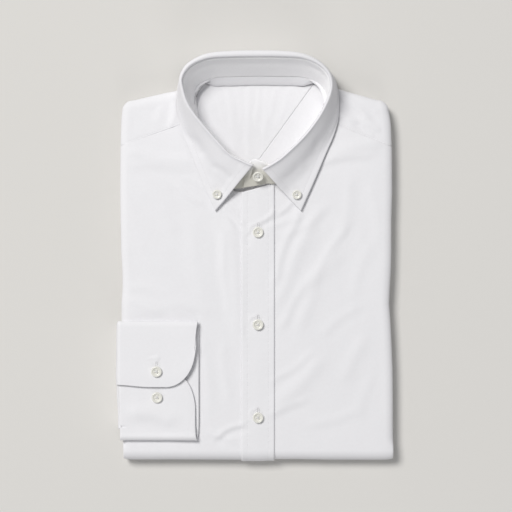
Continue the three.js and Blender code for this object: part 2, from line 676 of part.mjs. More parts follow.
// The left end of the stand runs on past the leaf, over the right end and the placket's top.
const STAND_LAP = [
  { foot: [5, 65.6, 23.2], crest: [5.2, 82.6, 37.6] },
  { foot: [-1, 63.6, 23.4], crest: [1.2, 81.6, 36.6] },
  { foot: [-7, 62, 23.6], crest: [-4, 77, 33.2] },
  { foot: [-11, 61.6, 23.8], crest: [-9.6, 69, 28.4] },
];

const collarCurves = {};
for (const key of ["foot", "crest", "edge"]) {
  const points = COLLAR.map((row) => new THREE.Vector3(...row[key]));
  collarCurves[key] = new THREE.CatmullRomCurve3(points, false, "centripetal");
}

function collarStation(at) {
  const whole = COLLAR.map((row, i) => ({ at: i / (COLLAR.length - 1), roll: row.roll, steep: row.steep }));
  return {
    foot: collarCurves.foot.getPoint(at),
    crest: collarCurves.crest.getPoint(at),
    edge: collarCurves.edge.getPoint(at),
    roll: readTable(whole, "at", "roll", at),
    steep: readTable(whole, "at", "steep", at),
  };
}

// Outer face of the leaf at one station: up over the crest, down the steep part, out to the edge.
function leafSection({ crest, edge, roll, steep }) {
  const out = new THREE.Vector3(edge.x - crest.x, edge.y - crest.y, 0);
  const reach = out.length();
  out.normalize();
  const at = (past, height) => new THREE.Vector3(crest.x, crest.y, height).addScaledVector(out, past);
  const drop = crest.z - edge.z;
  const heel = roll + (reach - roll) * steep;
  return [
    at(0, crest.z - 1.4),
    at(roll * 0.12, crest.z + 0.5),
    at(roll * 0.5, crest.z + 1.3),
    at(roll, crest.z - 0.6),
    at(lerp(roll, heel, 0.36), crest.z - drop * 0.34),
    at(lerp(roll, heel, 0.72), crest.z - drop * 0.7),
    at(heel, edge.z + drop * 0.09),
    at(lerp(heel, reach, 0.5), edge.z + drop * 0.02),
    at(reach, edge.z),
  ];
}

// Under face of the leaf inside the roll, where it closes over the top of the stand.
function leafUnderRoll({ crest, edge, roll }) {
  const out = new THREE.Vector3(edge.x - crest.x, edge.y - crest.y, 0).normalize();
  const at = (past, height) => new THREE.Vector3(crest.x, crest.y, height).addScaledVector(out, past);
  return [
    at(COLLAR_CLOTH, crest.z - 1.6),
    at(COLLAR_CLOTH, crest.z - 0.9),
    at(roll * 0.5, crest.z - 0.2),
    at(roll - COLLAR_CLOTH, crest.z - 1.2),
  ];
}

const leafSheet = [];
const rollSheet = [];
for (let i = 0; i <= LEAF_STATIONS; i += 1) {
  const station = collarStation(i / LEAF_STATIONS);
  leafSheet.push(leafSection(station));
  rollSheet.push(leafUnderRoll(station));
}
const leafUnder = movedSheet(leafSheet, -COLLAR_CLOTH);
leafUnder.forEach((row, i) => row.splice(0, rollSheet[i].length, ...rollSheet[i]));
addMesh("collar_leaf", wallGeometry(leafSheet, leafUnder), SHIRTING);

// Inner face of the stand, foot to crest.
const standLap = STAND_LAP.map(({ foot, crest }) => ({
  foot: new THREE.Vector3(...foot),
  crest: new THREE.Vector3(...crest),
}));
const standStations = [];
for (let i = 0; i <= STAND_STATIONS; i += 1) {
  standStations.push(collarStation(i / STAND_STATIONS));
}
const standSheet = [...standStations, ...standLap].map(({ foot, crest }) => {
  const top = crest.clone();
  top.z -= STAND_TOP_GAP + COLLAR_CLOTH;
  return [0, 0.35, 0.7, 1].map((share) => foot.clone().lerp(top, share));
});
addMesh("collar_stand", wallGeometry(standSheet, movedSheet(standSheet, -COLLAR_CLOTH)), SHIRTING);

// ---------------------------------------------------------------------------------------------
// Right cuff, flattened, and the sleeve that brings it round the side
// ---------------------------------------------------------------------------------------------

const CUFF_SEAM = -128.4; // x of the seam to the sleeve
const CUFF_CORNER = { across: 28, along: 36 }; // rounded corner of either end of the cuff
const CUFF_OVER_END = -125.3; // y of the upper end's straight edge
const CUFF_UNDER_END = -108.5;
const CUFF_STEPS = 12;

// Middle of the cloth round the flattened cuff, from the end underneath to the end on top. `share`
// places a row between the cuff's fold and its end; `free` is x of the free edge.
const CUFF_SECTION = [
  { part: "under", share: 0, z: 23.6, free: -57.6 },
  { part: "under", share: 0.4, z: 23.9, free: -57.6 },
  { part: "under", share: 0.8, z: 24.5, free: -57.4 },
  { part: "under", share: 1, z: 25.1, free: -57.0 },
  { part: "back", y: -173.4, z: 25.0, free: -56.4 },
  { part: "back", y: -175.8, z: 23.0, free: -55.6 },
  { part: "back", y: -173.4, z: 21.2, free: -54.8 },
  { part: "back", y: -166, z: 21.1, free: -54.2 },
  { part: "back", y: -120, z: 21.1, free: -54.1 },
  { part: "back", y: -73, z: 21.1, free: -54.1 },
  { part: "back", y: -65.6, z: 21.2, free: -54.2 },
  { part: "back", y: -63.2, z: 23.3, free: -54.8 },
  { part: "back", y: -65.6, z: 25.4, free: -55.4 },
  { part: "over", share: 0, z: 25.9, free: -56.2 },
  { part: "over", share: 0.3, z: 26.1, free: -56.6 },
  { part: "over", share: 0.6, z: 26.4, free: -56.6 },
  { part: "over", share: 0.85, z: 26.9, free: -56.6 },
  { part: "over", share: 1, z: 26.9, free: -56.6 },
];

function cuffEnd(base, sign, x, free) {
  const past = Math.max(0, x - (free - CUFF_CORNER.across)) / CUFF_CORNER.across;
  return base + sign * CUFF_CORNER.along * (1 - Math.sqrt(Math.max(0, 1 - past * past)));
}

function cuffPoint(row, x) {
  if (row.part === "under") {
    const end = cuffEnd(CUFF_UNDER_END, -1, x, row.free);
    return new THREE.Vector3(x, lerp(end, -168, row.share), row.z);
  }
  if (row.part === "over") {
    const end = cuffEnd(CUFF_OVER_END, 1, x, row.free);
    return new THREE.Vector3(x, lerp(-71, end, row.share), row.z);
  }
  return new THREE.Vector3(x, row.y, row.z);
}

const cuffMiddle = [];
for (let i = 0; i <= CUFF_STEPS; i += 1) {
  const share = Math.sin((Math.PI / 2) * (i / CUFF_STEPS));
  cuffMiddle.push(CUFF_SECTION.map((row) => cuffPoint(row, lerp(CUFF_SEAM, row.free, share))));
}
addMesh("cuff_right", wallGeometry(
  movedSheet(cuffMiddle, CUFF_CLOTH / 2),
  movedSheet(cuffMiddle, -CUFF_CLOTH / 2),
), SHIRTING);

// Sleeve: middle of its two layers, from the cuff seam over the side and down to the surface.
const SLEEVE_SECTION = [
  { x: -129.2, z: 23.4 },
  { x: -130.4, z: 22.8 },
  { x: -131.3, z: 20.4 },
  { x: -131.5, z: 16 },
  { x: -131.6, z: 10 },
  { x: -131.5, z: 5 },
  { x: -131.3, z: 0.4 },
];
const SLEEVE_ROWS = [-67, -71, -90, -110, -130, -150, -168, -172];

const sleeveMiddle = SLEEVE_ROWS.map((y) => SLEEVE_SECTION.map(({ x, z }) => new THREE.Vector3(x, y, z)));
addMesh("sleeve_right", wallGeometry(
  movedSheet(sleeveMiddle, -SLEEVE_CLOTH / 2),
  movedSheet(sleeveMiddle, SLEEVE_CLOTH / 2),
), SHIRTING);

// ---------------------------------------------------------------------------------------------
// Buttons: turned discs with a rounded rim and a dished middle
// ---------------------------------------------------------------------------------------------

const BUTTON_SEGMENTS = 16;

function buttonGeometry(diameter) {
  const radius = diameter / 2;
  const thick = 0.24 * diameter;
  const profile = [
    [0, 0],
    [0.7, 0],
    [0.97, 0.42],
    [1, 0.62],
    [0.92, 0.95],
    [0.74, 1],
    [0.58, 0.7],
    [0, 0.62],
  ].map(([out, up]) => new THREE.Vector2(out * radius, up * thick));
  const geometry = new THREE.LatheGeometry(profile, BUTTON_SEGMENTS);
  geometry.deleteAttribute("normal");
  geometry.deleteAttribute("uv");
  geometry.rotateX(Math.PI / 2);
  return mergeVertices(geometry, 1e-3);
}

const FRONT_BUTTON = 10.3;
const POINT_BUTTON = 8.8;
const onPlacket = BUNDLE_HEIGHT + PLACKET_RISE + SEAM_GAP + CLOTH + SEAM_GAP;
const BUTTONS = [
  { name: "button_front_1", place: [2.9, 22.7, onPlacket], diameter: FRONT_BUTTON, tilt: 0 },
  { name: "button_front_2", place: [2.9, -65.8, onPlacket], diameter: FRONT_BUTTON, tilt: 0 },
  { name: "button_front_3", place: [2.9, -154.9, onPlacket], diameter: FRONT_BUTTON, tilt: 0 },
  { name: "button_stand", place: [2.9, 76.2, 32.2], diameter: FRONT_BUTTON, tilt: 29 },
  { name: "button_point_right", place: [-36.3, 59.1, 25.3], diameter: POINT_BUTTON, tilt: 5 },
  { name: "button_point_left", place: [40, 58.8, 24.9], diameter: POINT_BUTTON, tilt: 5 },
  { name: "button_cuff_1", place: [-94.1, -110.4, 27.8], diameter: FRONT_BUTTON, tilt: 0 },
  { name: "button_cuff_2", place: [-93.7, -135.3, 25.0], diameter: FRONT_BUTTON, tilt: 0 },
];
for (const { name, place, diameter, tilt } of BUTTONS) {
  addMesh(name, buttonGeometry(diameter), BUTTON, place, degrees(tilt));
}

export default shirt;
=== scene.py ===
import math

import bpy
import numpy as np
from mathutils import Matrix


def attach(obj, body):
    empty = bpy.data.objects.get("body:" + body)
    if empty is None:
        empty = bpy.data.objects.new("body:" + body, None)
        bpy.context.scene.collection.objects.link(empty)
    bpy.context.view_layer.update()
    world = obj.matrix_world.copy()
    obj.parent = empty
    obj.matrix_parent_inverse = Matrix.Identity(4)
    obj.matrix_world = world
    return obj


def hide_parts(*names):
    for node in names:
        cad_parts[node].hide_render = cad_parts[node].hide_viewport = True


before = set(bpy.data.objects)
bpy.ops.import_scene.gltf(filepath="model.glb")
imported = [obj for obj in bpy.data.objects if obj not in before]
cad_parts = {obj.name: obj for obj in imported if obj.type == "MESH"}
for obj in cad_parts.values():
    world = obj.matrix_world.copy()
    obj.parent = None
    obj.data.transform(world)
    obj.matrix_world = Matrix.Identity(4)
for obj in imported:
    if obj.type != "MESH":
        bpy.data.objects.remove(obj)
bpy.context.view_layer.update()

# ----------------------------------------------------------------------------------------------
# Table top, light and camera: a plain pale floor under a wide soft light from beyond the
# wearer's right shoulder, with a bright even room round it. The camera looks straight down.
# ----------------------------------------------------------------------------------------------


class Wire:
    """One socket of a material. Sums written with it add Math nodes."""

    def __init__(self, tree, socket=None):
        self.tree = tree
        self.socket = socket

    def add(self, kind, settings=None, inputs=None):
        """A node of any kind: its settings first, then the values or wires on its sockets."""
        node = self.tree.nodes.new(kind)
        for key, value in (settings or {}).items():
            if key == "stops":
                for stop, (place, colour) in zip(node.color_ramp.elements, value):
                    stop.position, stop.color = place, (*colour, 1)
            else:
                setattr(node, key, value)
        for key, value in (inputs or {}).items():
            if isinstance(value, Wire):
                self.tree.links.new(value.socket, node.inputs[key])
            else:
                node.inputs[key].default_value = value
        return Wire(self.tree, node.outputs[0]) if node.outputs else node

    def out(self, name):
        """Another output of the same node."""
        return Wire(self.tree, self.socket.node.outputs[name])

    def sum(self, operation, a, b=0.0):
        return self.add("ShaderNodeMath", {"operation": operation}, {0: a, 1: b})

    def __add__(self, other):
        return self.sum("ADD", self, other)

    def __sub__(self, other):
        return self.sum("SUBTRACT", self, other)

    def __rsub__(self, other):
        return self.sum("SUBTRACT", other, self)

    def __mul__(self, other):
        return self.sum("MULTIPLY", self, other)

    __radd__ = __add__
    __rmul__ = __mul__


def new_material(name):
    """An empty material and the wire to build it from."""
    material = bpy.data.materials.new(name)
    material.use_nodes = True
    material.node_tree.nodes.clear()
    return material, Wire(material.node_tree)


def mixed(start, first, second, by):
    """One colour fading to another where the wire `by` goes from 0 to 1."""
    node = start.add("ShaderNodeMix", {"data_type": "RGBA"}, {"A": first, "B": second, "Factor": by})
    return node.out("Result")


def tinted(start, colour, amount, by):
    """A colour that darkens by `amount` where the wire `by` goes from 0 to 1."""
    return mixed(start, (*colour, 1), (*[c * (1 - amount) for c in colour], 1), by)


def noise(start, place, scale, detail, **more):
    """Cloudy noise over the wire `place`, from 0 to 1."""
    return start.add("ShaderNodeTexNoise", None, {"Vector": place, "Scale": scale, "Detail": detail, **more})


def close_material(start, height, look):
    """Ends a material: a bump of `height` in metres, and the shader's other values."""
    bump = start.add("ShaderNodeBump", None, {"Strength": 1.0, "Distance": 1.0, "Height": height})
    shader = start.add("ShaderNodeBsdfPrincipled", None, {**look, "Normal": bump})
    start.add("ShaderNodeOutputMaterial", None, {"Surface": shader})


def floor_material():
    """Matt painted board: a warm pale tone with a faint slow mottle and a fine tooth. Its colour also holds
    painted light: it grows slightly paler towards the lower-right corner, away from the key light, to even
    out that light's falloff."""
    material, start = new_material("pale_board")
    place = start.add("ShaderNodeTexCoord").out("Object")
    mottle = noise(start, place, 3.0, 2.0)
    tooth = noise(start, place, 900.0, 1.0)
    axes = start.add("ShaderNodeSeparateXYZ", None, {"Vector": place})
    # Painted light: the board is paler towards the lower right, away from the key, to cancel the key light's
    # falloff across the floor.
    painted_falloff_ramp = start.add("ShaderNodeMapRange", None, {
        "Value": axes - axes.out("Y"), "From Min": -0.6, "From Max": 0.6, "To Min": 0.0, "To Max": 1.0})
    paint = mixed(start, tinted(start, (0.685, 0.672, 0.645), 0.03, mottle), (0.745, 0.731, 0.704, 1), painted_falloff_ramp)
    close_material(start, tooth * 0.00004, {
        "Base Color": paint, "Roughness": 0.75, "Specular IOR Level": 0.2})
    return material


floor_mesh = bpy.data.meshes.new("floor")
floor_mesh.from_pydata([(-4, -4, 0), (4, -4, 0), (4, 4, 0), (-4, 4, 0)], [], [(0, 1, 2, 3)])
floor = bpy.data.objects.new("floor", floor_mesh)
bpy.context.scene.collection.objects.link(floor)
floor_mesh.materials.append(floor_material())

room = bpy.data.worlds.new("room")
room.use_nodes = True
room.node_tree.nodes["Background"].inputs["Color"].default_value = (0.97, 0.98, 1.0, 1)
room.node_tree.nodes["Background"].inputs["Strength"].default_value = 0.305
bpy.context.scene.world = room
bpy.context.scene.view_settings.view_transform = "Standard"

# The key light stands 4.1 m away and 56 degrees up. A weak one from the near side fills its
# shadows.
KEY_FROM = np.array([-1.55, 1.72, 3.4])
FILL_FROM = np.array([0.5, -3.0, 1.7])
for name, spot, size, energy, colour in (("key", KEY_FROM, 1.6, 129.0, (1.0, 0.99, 0.975)),
                                         ("fill", FILL_FROM, 2.0, 16.0, (1.0, 0.99, 0.985))):
    lamp_data = bpy.data.lights.new(name, "AREA")
    lamp_data.shape, lamp_data.size, lamp_data.energy = "DISK", size, energy
    lamp_data.color = colour
    lamp = bpy.data.objects.new(name, lamp_data)
    lamp.location = spot
    toward = -spot / np.linalg.norm(spot)
    lamp.rotation_euler = (math.acos(-toward[2]), 0, math.atan2(toward[1], toward[0]) - math.pi / 2)
    bpy.context.scene.collection.objects.link(lamp)

camera_data = bpy.data.cameras.new("camera")
camera_data.lens, camera_data.sensor_width = 108.4, 36
camera = bpy.data.objects.new("camera", camera_data)
camera.location = (0.00096, 0, 1.5)
bpy.context.scene.collection.objects.link(camera)
bpy.context.scene.camera = camera

# ----------------------------------------------------------------------------------------------
# Fronts: fine white cotton, pressed and laid face up. Each lies flat over the bundle, rolls down
# the side and turns under at the bottom fold. Creases from the pressing run across them.
# ----------------------------------------------------------------------------------------------

CLOTH = 1.0  # millimetres, as are all sizes of the pieces
BUNDLE_HEIGHT = 20
ROLL_WIDTH = 8
ROLL_RADIUS = 5
FOLD_RADIUS = 10
FOLD_LINE = -186.5
TUCK = math.radians(140)  # how far the side rolls and the bottom fold go round
TURN_ROWS = 22
ROLL_COLUMNS = 16
FRONT_ROWS = 250
SIDE_Y = [-197, -150, -107, -78, -60, -46, -30, -16, 5, 35, 60, 107, 126, 146]
SIDE_X = {
    "right": [-126.2, -128.4, -128.6, -128.6, -128.6, -128.6, -127.4, -127.6, -129.0, -129.6, -129.8,
              -129.5, -129.0, -128.0],
    "left": [133.1, 132.9, 132.3, 131.3, 130.4, 129.3, 129.8, 130.6, 131.2,
             131.5, 132.2, 131.6, 130.9, 128.8],
}
FRONT_TOP = np.array([
    (-130, 106), (-57, 131.7), (-55.5, 123), (-53, 112), (-48, 99), (-40, 82), (-33.5, 73.5),
    (-27, 67), (-20, 62.8), (-12, 61.5), (3, 65.5), (18.7, 70), (30, 77), (37, 84), (44, 92),
    (51, 101.5), (57, 111), (61, 120), (63.5, 131.5), (65, 132.5), (132, 105)])
SEAM_GAP = 0.05
THREAD_PITCH = 0.0005  # metres, as are all sizes in the materials
WHITE_COTTON = (0.845, 0.841, 0.862)
# Creases as x, y of both ends, bow of the middle to the left of the way, half width, height, and
# how deep a valley follows on the right of the ridge. A minus height is a valley.
FRONT_CREASES = [
    (-24, 20, -17, -62, 1.5, 7, 1.1, 0.0), (-120, -42, -96, -52, 1, 6, 1.0, 0.0),
    (-116, 100, -66, 92, -2, 6, 0.9, 0.0), (26, -34, 50, 24, 2, 8, 1.3, 0.0),
    (46, -56, 74, -4, 3, 8, 1.2, 0.0), (26, -138, 56, -106, -2, 8, 1.1, 0.0),
    (76, 98, 112, 108, 1, 7, 1.0, 0.0), (88, -112, 102, -84, 1, 7, 0.8, 0.0),
    (21, -18, 40, 34, 3, 4.5, 0.9, 0.7), (30, -60, 52, -22, 2, 5, 0.8, 0.6),
    (40, 26, 64, 44, -2, 5, 0.6, 0.5), (58, -22, 84, 22, 3, 5, 0.7, 0.5),
    (22, -116, 50, -96, -2, 4, 0.5, 0.6), (20, -150, 44, -140, 1, 4, 0.5, 0.5),
    (66, 90, 104, 96, 2, 4, 0.5, 0.5), (84, 30, 90, 66, -3, 6, 0.5, 0.3),
    (70, -70, 94, -52, 2, 5, 0.45, 0.4), (96, -30, 108, 4, 2, 6, 0.4, 0.3),
    (60, -160, 92, -150, -2, 5, 0.45, 0.4), (100, -150, 110, -122, 2, 6, 0.4, 0.3),
    (-34, -172, -15, -163, 2, 3.2, 0.9, 0.9), (-42, -170, -24, -176, -1, 3.5, 0.5, 0.5),
    (-30, 14, -26, -44, -2, 4, 0.5, 0.5), (-36, 30, -32, -10, 2, 5, 0.4, 0.4),
    (-27, 47, -14, 33, 1, 3, 0.9, 0.8), (-34, 40, -20, 26, 1, 3.5, 0.5, 0.6),
    (6, 33, 17, 42, -1, 2.6, 0.7, 0.8), (18, 38, 34, 50, -1, 3, 0.6, 0.8),
    (20, 30, 42, 36, 1, 3.5, 0.4, 0.5), (-72, 66, -54, 52, -2, 4, 0.7, 0.5),
    (-66, 74, -50, 66, 1, 3.5, 0.4, 0.4), (-112, 88, -74, 84, 2, 5, 0.5, 0.4),
    (-104, 60, -82, 30, 3, 7, 0.45, 0.3), (-60, 24, -52, -30, -3, 8, 0.4, 0.3),
    (-118, -30, -90, -36, 2, 5, 0.5, 0.4), (-80, -46, -50, -52, 2, 5, 0.4, 0.4),
    (-50, -90, -44, -140, 2, 6, 0.4, 0.3), (-30, -90, -26, -130, -2, 5, 0.45, 0.3),
    (-110, 8, -92, -14, -3, 6, 0.35, 0.3), (112, 60, 118, 20, 2, 6, 0.35, 0.3),
    (-5, 24, 0, 30.5, 2, 2.2, 0.5, 0.3), (-6.5, 13, -5, 21, 1, 3, -0.4, 0.0),
    (-5, -64, 0, -58, 2, 2.2, 0.5, 0.3), (-6.5, -76, -5, -66, 1, 3, -0.4, 0.0),
    (-4.5, -153, 0, -147, 2, 2.2, 0.4, 0.3),
]


def smooth(x, low, high):
    """0 below `low`, 1 above `high`, easing between them."""
    share = np.clip((x - low) / (high - low), 0, 1)
    return share * share * (3 - 2 * share)


def creases(x, y, rows):
    """Height of pressed creases: along each line a bell of the distance across it, with a second,
    wider bell taken off on its right, fading past both ends and bowed by a parabola."""
    height = np.zeros(np.broadcast(x, y).shape)
    for x1, y1, x2, y2, bow, width, rise, valley in rows:
        length = math.hypot(x2 - x1, y2 - y1)
        along = ((x - x1) * (x2 - x1) + (y - y1) * (y2 - y1)) / length
        across = ((x - x1) * (y2 - y1) - (y - y1) * (x2 - x1)) / length
        share = np.clip(along / length, 0, 1)
        across = across + 4 * bow * share * (1 - share)
        past = np.maximum(0, np.maximum(-along, along - length)) / (0.3 * length + width)
        hollow = valley * np.exp(-((across - 1.5 * width) / (1.3 * width)) ** 2)
        height += rise * (np.exp(-(across / width) ** 2) - hollow) * np.exp(-(past * past) * 3)
    return height


def drift(x, y):
    """Slow unevenness of cloth lying on layers: three long waves that cross."""
    return (0.20 * np.sin(x / 19 + y / 47 + 0.6) + 0.16 * np.sin(x / 31 - y / 23 + 2.1)
            + 0.10 * np.sin(x / 11 + y / 13 + 4.0))


def side_at(side, y):
    """Side line of the bundle, with the slight waver of a folded edge."""
    return np.interp(y, SIDE_Y, SIDE_X[side]) + 0.15 * np.sin(y / 17 + (2 if side == "left" else 0))


def cuff_shadow(x, y):
    """1 under the cuff, 0 away from it: what lies under the cuff is kept flat."""
    return smooth(-x, 46, 56) * smooth(-y, 50, 62)


def rise(x, y):
    """How far the fronts stand above the flat top, at least -0.35, and nothing at the side rolls and
    under the cuff."""
    inset = np.minimum(x - side_at("right", y), side_at("left", y) - x)
    free = creases(x, y, FRONT_CREASES) + drift(x, y)
    return smooth(inset, 0, 14) * (1 - cuff_shadow(x, y)) * np.maximum(free, -0.35)


def front_point(x, y, depth, turn):
    """A place on the fronts: flat at the bundle's height less `depth`, then, where `turn` is more
    than 0, round the bottom fold by that angle on a radius of the fold less `depth`."""
    lift = rise(x, y) - depth
    radius = FOLD_RADIUS + lift
    return np.stack(np.broadcast_arrays(
        x,
        y - radius * np.sin(turn),
        np.where(turn > 0, FOLD_RADIUS + radius * np.cos(turn), BUNDLE_HEIGHT + lift)), -1)


def front_sheet(side, inner_edge, depth, rows, columns):
    """Grid of a front. Down the rows: from its top edge to the fold line, then 0 to 140 degrees
    round the fold. Across: from the inner edge straight to the roll, then 0 to 140 degrees of
    the roll, whose path is an ellipse 8 wide and 5 high. Close above the fold the roll keeps
    only 0.28 of its drop, as the fold flattens it."""
    sign = 1 if side == "left" else -1
    share = np.concatenate([np.linspace(0, 1, rows), np.ones(TURN_ROWS)])[:, None]
    turn = np.concatenate([np.zeros(rows), np.linspace(0.02, TUCK, TURN_ROWS)])[:, None]
    over = np.concatenate([np.linspace(0, 1, columns), np.ones(ROLL_COLUMNS)])[None]
    roll = np.concatenate([np.zeros(columns), np.linspace(0.05, TUCK, ROLL_COLUMNS)])[None]
    past = sign * ((ROLL_WIDTH - depth) * np.sin(roll) - ROLL_WIDTH)
    down = ROLL_RADIUS - (ROLL_RADIUS - depth) * np.cos(roll)
    down = depth + (down - depth) * (1 - 0.72 * smooth(share, 0.955, 1.0))
    at_seam = inner_edge + (side_at(side, 107) + past - inner_edge) * over
    top = np.interp(at_seam, FRONT_TOP[:, 0], FRONT_TOP[:, 1]) - SEAM_GAP
    y = top + (FOLD_LINE - top) * share
    x = inner_edge + (side_at(side, y) + past - inner_edge) * over
    return front_point(x, y, down, turn)


def put_mesh(name, points, faces, finish, threads=None):
    """Millimetre points and faces as one smooth object at the origin, riding the bundle. The
    attribute `threads` holds each point's place along the weft and the warp, in metres."""
    mesh = bpy.data.meshes.new(name)
    mesh.from_pydata(points / 1000, [], faces)
    mesh.shade_smooth()
    if threads is not None:
        flat = np.zeros((len(points), 3), np.float32)
        flat[:, :2] = threads / 1000
        mesh.attributes.new("threads", "FLOAT_VECTOR", "POINT").data.foreach_set("vector", flat.ravel())
    mesh.materials.append(finish)
    piece = bpy.data.objects.new(name, mesh)
    bpy.context.scene.collection.objects.link(piece)
    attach(piece, "root")
    return piece


def outward(points, faces):
    """The faces turned about if the volume they enclose comes out negative."""
    a, b, c, d = (points[faces[:, k]] for k in range(4))
    volume = (np.cross(b, c) * a).sum() + (np.cross(c, d) * a).sum()
    return faces if volume > 0 else faces[:, ::-1]


def put_cloth(name, outer, inner, finish):
    """A wall of cloth between two grids of the same size, closed by a strip round its edges."""
    rows, columns = outer.shape[:2]
    count = rows * columns
    at = np.arange(count).reshape(rows, columns)
    face = np.stack([at[:-1, :-1], at[:-1, 1:], at[1:, 1:], at[1:, :-1]], -1).reshape(-1, 4)
    rim = np.concatenate([at[0, :-1], at[:-1, -1], at[-1, :0:-1], at[:0:-1, 0]])
    after = np.roll(rim, -1)
    edge = np.stack([after, rim, rim + count, after + count], -1)
    faces = np.concatenate([face, face[:, ::-1] + count, edge])
    points = np.concatenate([outer.reshape(-1, 3), inner.reshape(-1, 3)])
    step_down = np.linalg.norm(np.diff(outer, axis=0, prepend=outer[:1]), axis=2).cumsum(0)
    step_over = np.linalg.norm(np.diff(outer, axis=1, prepend=outer[:, :1]), axis=2).cumsum(1)
    threads = np.stack([step_over, step_down], -1).reshape(-1, 2)
    return put_mesh(name, points, outward(points, faces), finish, np.concatenate([threads, threads]))


def cotton(name, colour=WHITE_COTTON, rumple=1.0, near=None):
    """Plain-woven cotton: threads 0.5 mm apart going over and under, thicker and thinner along their length,
    over a soft rumple of up to 16 mm across, with a thin fuzz. `near` is painted shade: a darker colour that
    it fades to over 14 mm going down in y, and the y in millimetres where that fade ends."""
    material, start = new_material(name)
    threads = start.add("ShaderNodeAttribute", {"attribute_name": "threads"}).out("Vector")
    along = start.add("ShaderNodeSeparateXYZ", None, {"Vector": threads})
    weft = start.sum("SINE", along * (math.pi / THREAD_PITCH))
    warp = start.sum("SINE", along.out("Y") * (math.pi / THREAD_PITCH))
    place = start.add("ShaderNodeTexCoord").out("Object")
    slub = noise(start, place, 420.0, 2.0)
    soft = noise(start, place, 62.0, 3.0, Roughness=0.45)
    height = weft * warp * 0.000008 + slub * 0.00003 + soft * (0.00030 * rumple)
    base = tinted(start, colour, 0.035, slub)
    # Painted shade: below the given y the cloth darkens to the `near` colour.
    if near:
        painted_shade_colour, painted_shade_y = near[0], near[1] / 1000
        across = start.add("ShaderNodeSeparateXYZ", None, {"Vector": place}).out("Y")
        fade = start.add("ShaderNodeMapRange", None, {
            "Value": across, "From Min": painted_shade_y, "From Max": painted_shade_y + 0.014, "To Min": 1.0, "To Max": 0.0})
        base = mixed(start, base, (*painted_shade_colour, 1), fade)
    close_material(start, height, {
        "Base Color": base, "Roughness": slub * 0.1 + 0.8,
        "Specular IOR Level": 0.25, "Sheen Weight": 0.12, "Sheen Roughness": 0.5})
    return material


front_cotton = cotton("front_cotton")
FRONT_EDGE = {"right": 16.9, "left": 17.2}
for side, columns, node in (("right", 122, "front_right"), ("left", 92, "front_left")):
    front = put_cloth(
        f"{node}_cloth",
        front_sheet(side, FRONT_EDGE[side], 0, FRONT_ROWS, columns),
        front_sheet(side, FRONT_EDGE[side], CLOTH, FRONT_ROWS, columns),
        front_cotton)
    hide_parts(node)

# ----------------------------------------------------------------------------------------------
# Placket: a folded strip of the same cotton on the left front's edge, sewn down 6 mm in from
# both its sides. Its stitch lines draw the cloth in and pucker it a little.
# ----------------------------------------------------------------------------------------------

PLACKET_CENTRE = 2.8
PLACKET_WIDTH = 32
PLACKET_ROW = 10.0  # stitch rows lie this far each side of the centre
PLACKET_TURN_ROWS = 14
PLACKET_COLUMNS = 60
PLACKET_UNDER = 0.3  # the under face stays this far above the fronts


def placket_lift(x, y):
    """The strip's own face above the fronts: full height with rounded sides, a narrow groove on
    each stitch row, small waves 7 mm long that die away from the rows, and a low belly between."""
    across = x - PLACKET_CENTRE
    edge = smooth(PLACKET_WIDTH / 2 - abs(across), -0.2, 1.3)
    row = abs(abs(across) - PLACKET_ROW)
    pucker = 0.07 * np.sin(y / 1.15 + 2 * np.sin(y / 13)) * np.exp(-(row / 2.2) ** 2)
    belly = 0.15 * np.exp(-(across / 7) ** 2) * (1 + 0.5 * np.sin(y / 29))
    return 0.9 + 0.65 * edge - 0.10 * np.exp(-(row / 0.55) ** 2) + pucker + belly


def placket_sheet(outer):
    """The fronts' grid between the strip's sides, moved out by the strip's lift."""
    share = np.concatenate([np.linspace(0, 1, FRONT_ROWS), np.ones(PLACKET_TURN_ROWS)])[:, None]
    turn = np.concatenate([np.zeros(FRONT_ROWS), np.linspace(0.02, TUCK, PLACKET_TURN_ROWS)])[:, None]
    x = PLACKET_CENTRE + PLACKET_WIDTH * np.linspace(-0.5, 0.5, PLACKET_COLUMNS)[None] + 0 * share
    top = np.interp(x, FRONT_TOP[:, 0], FRONT_TOP[:, 1]) - SEAM_GAP
    y = top + (FOLD_LINE - top) * share
    return front_point(x, y, -(placket_lift(x, y) if outer else PLACKET_UNDER), turn)


def ring_quads(at):
    """Quads between the rows of a grid of point numbers, each row a closed ring."""
    turned = np.roll(at, -1, axis=1)
    return np.stack([at[:-1], at[1:], turned[1:], turned[:-1]], -1).reshape(-1, 4)


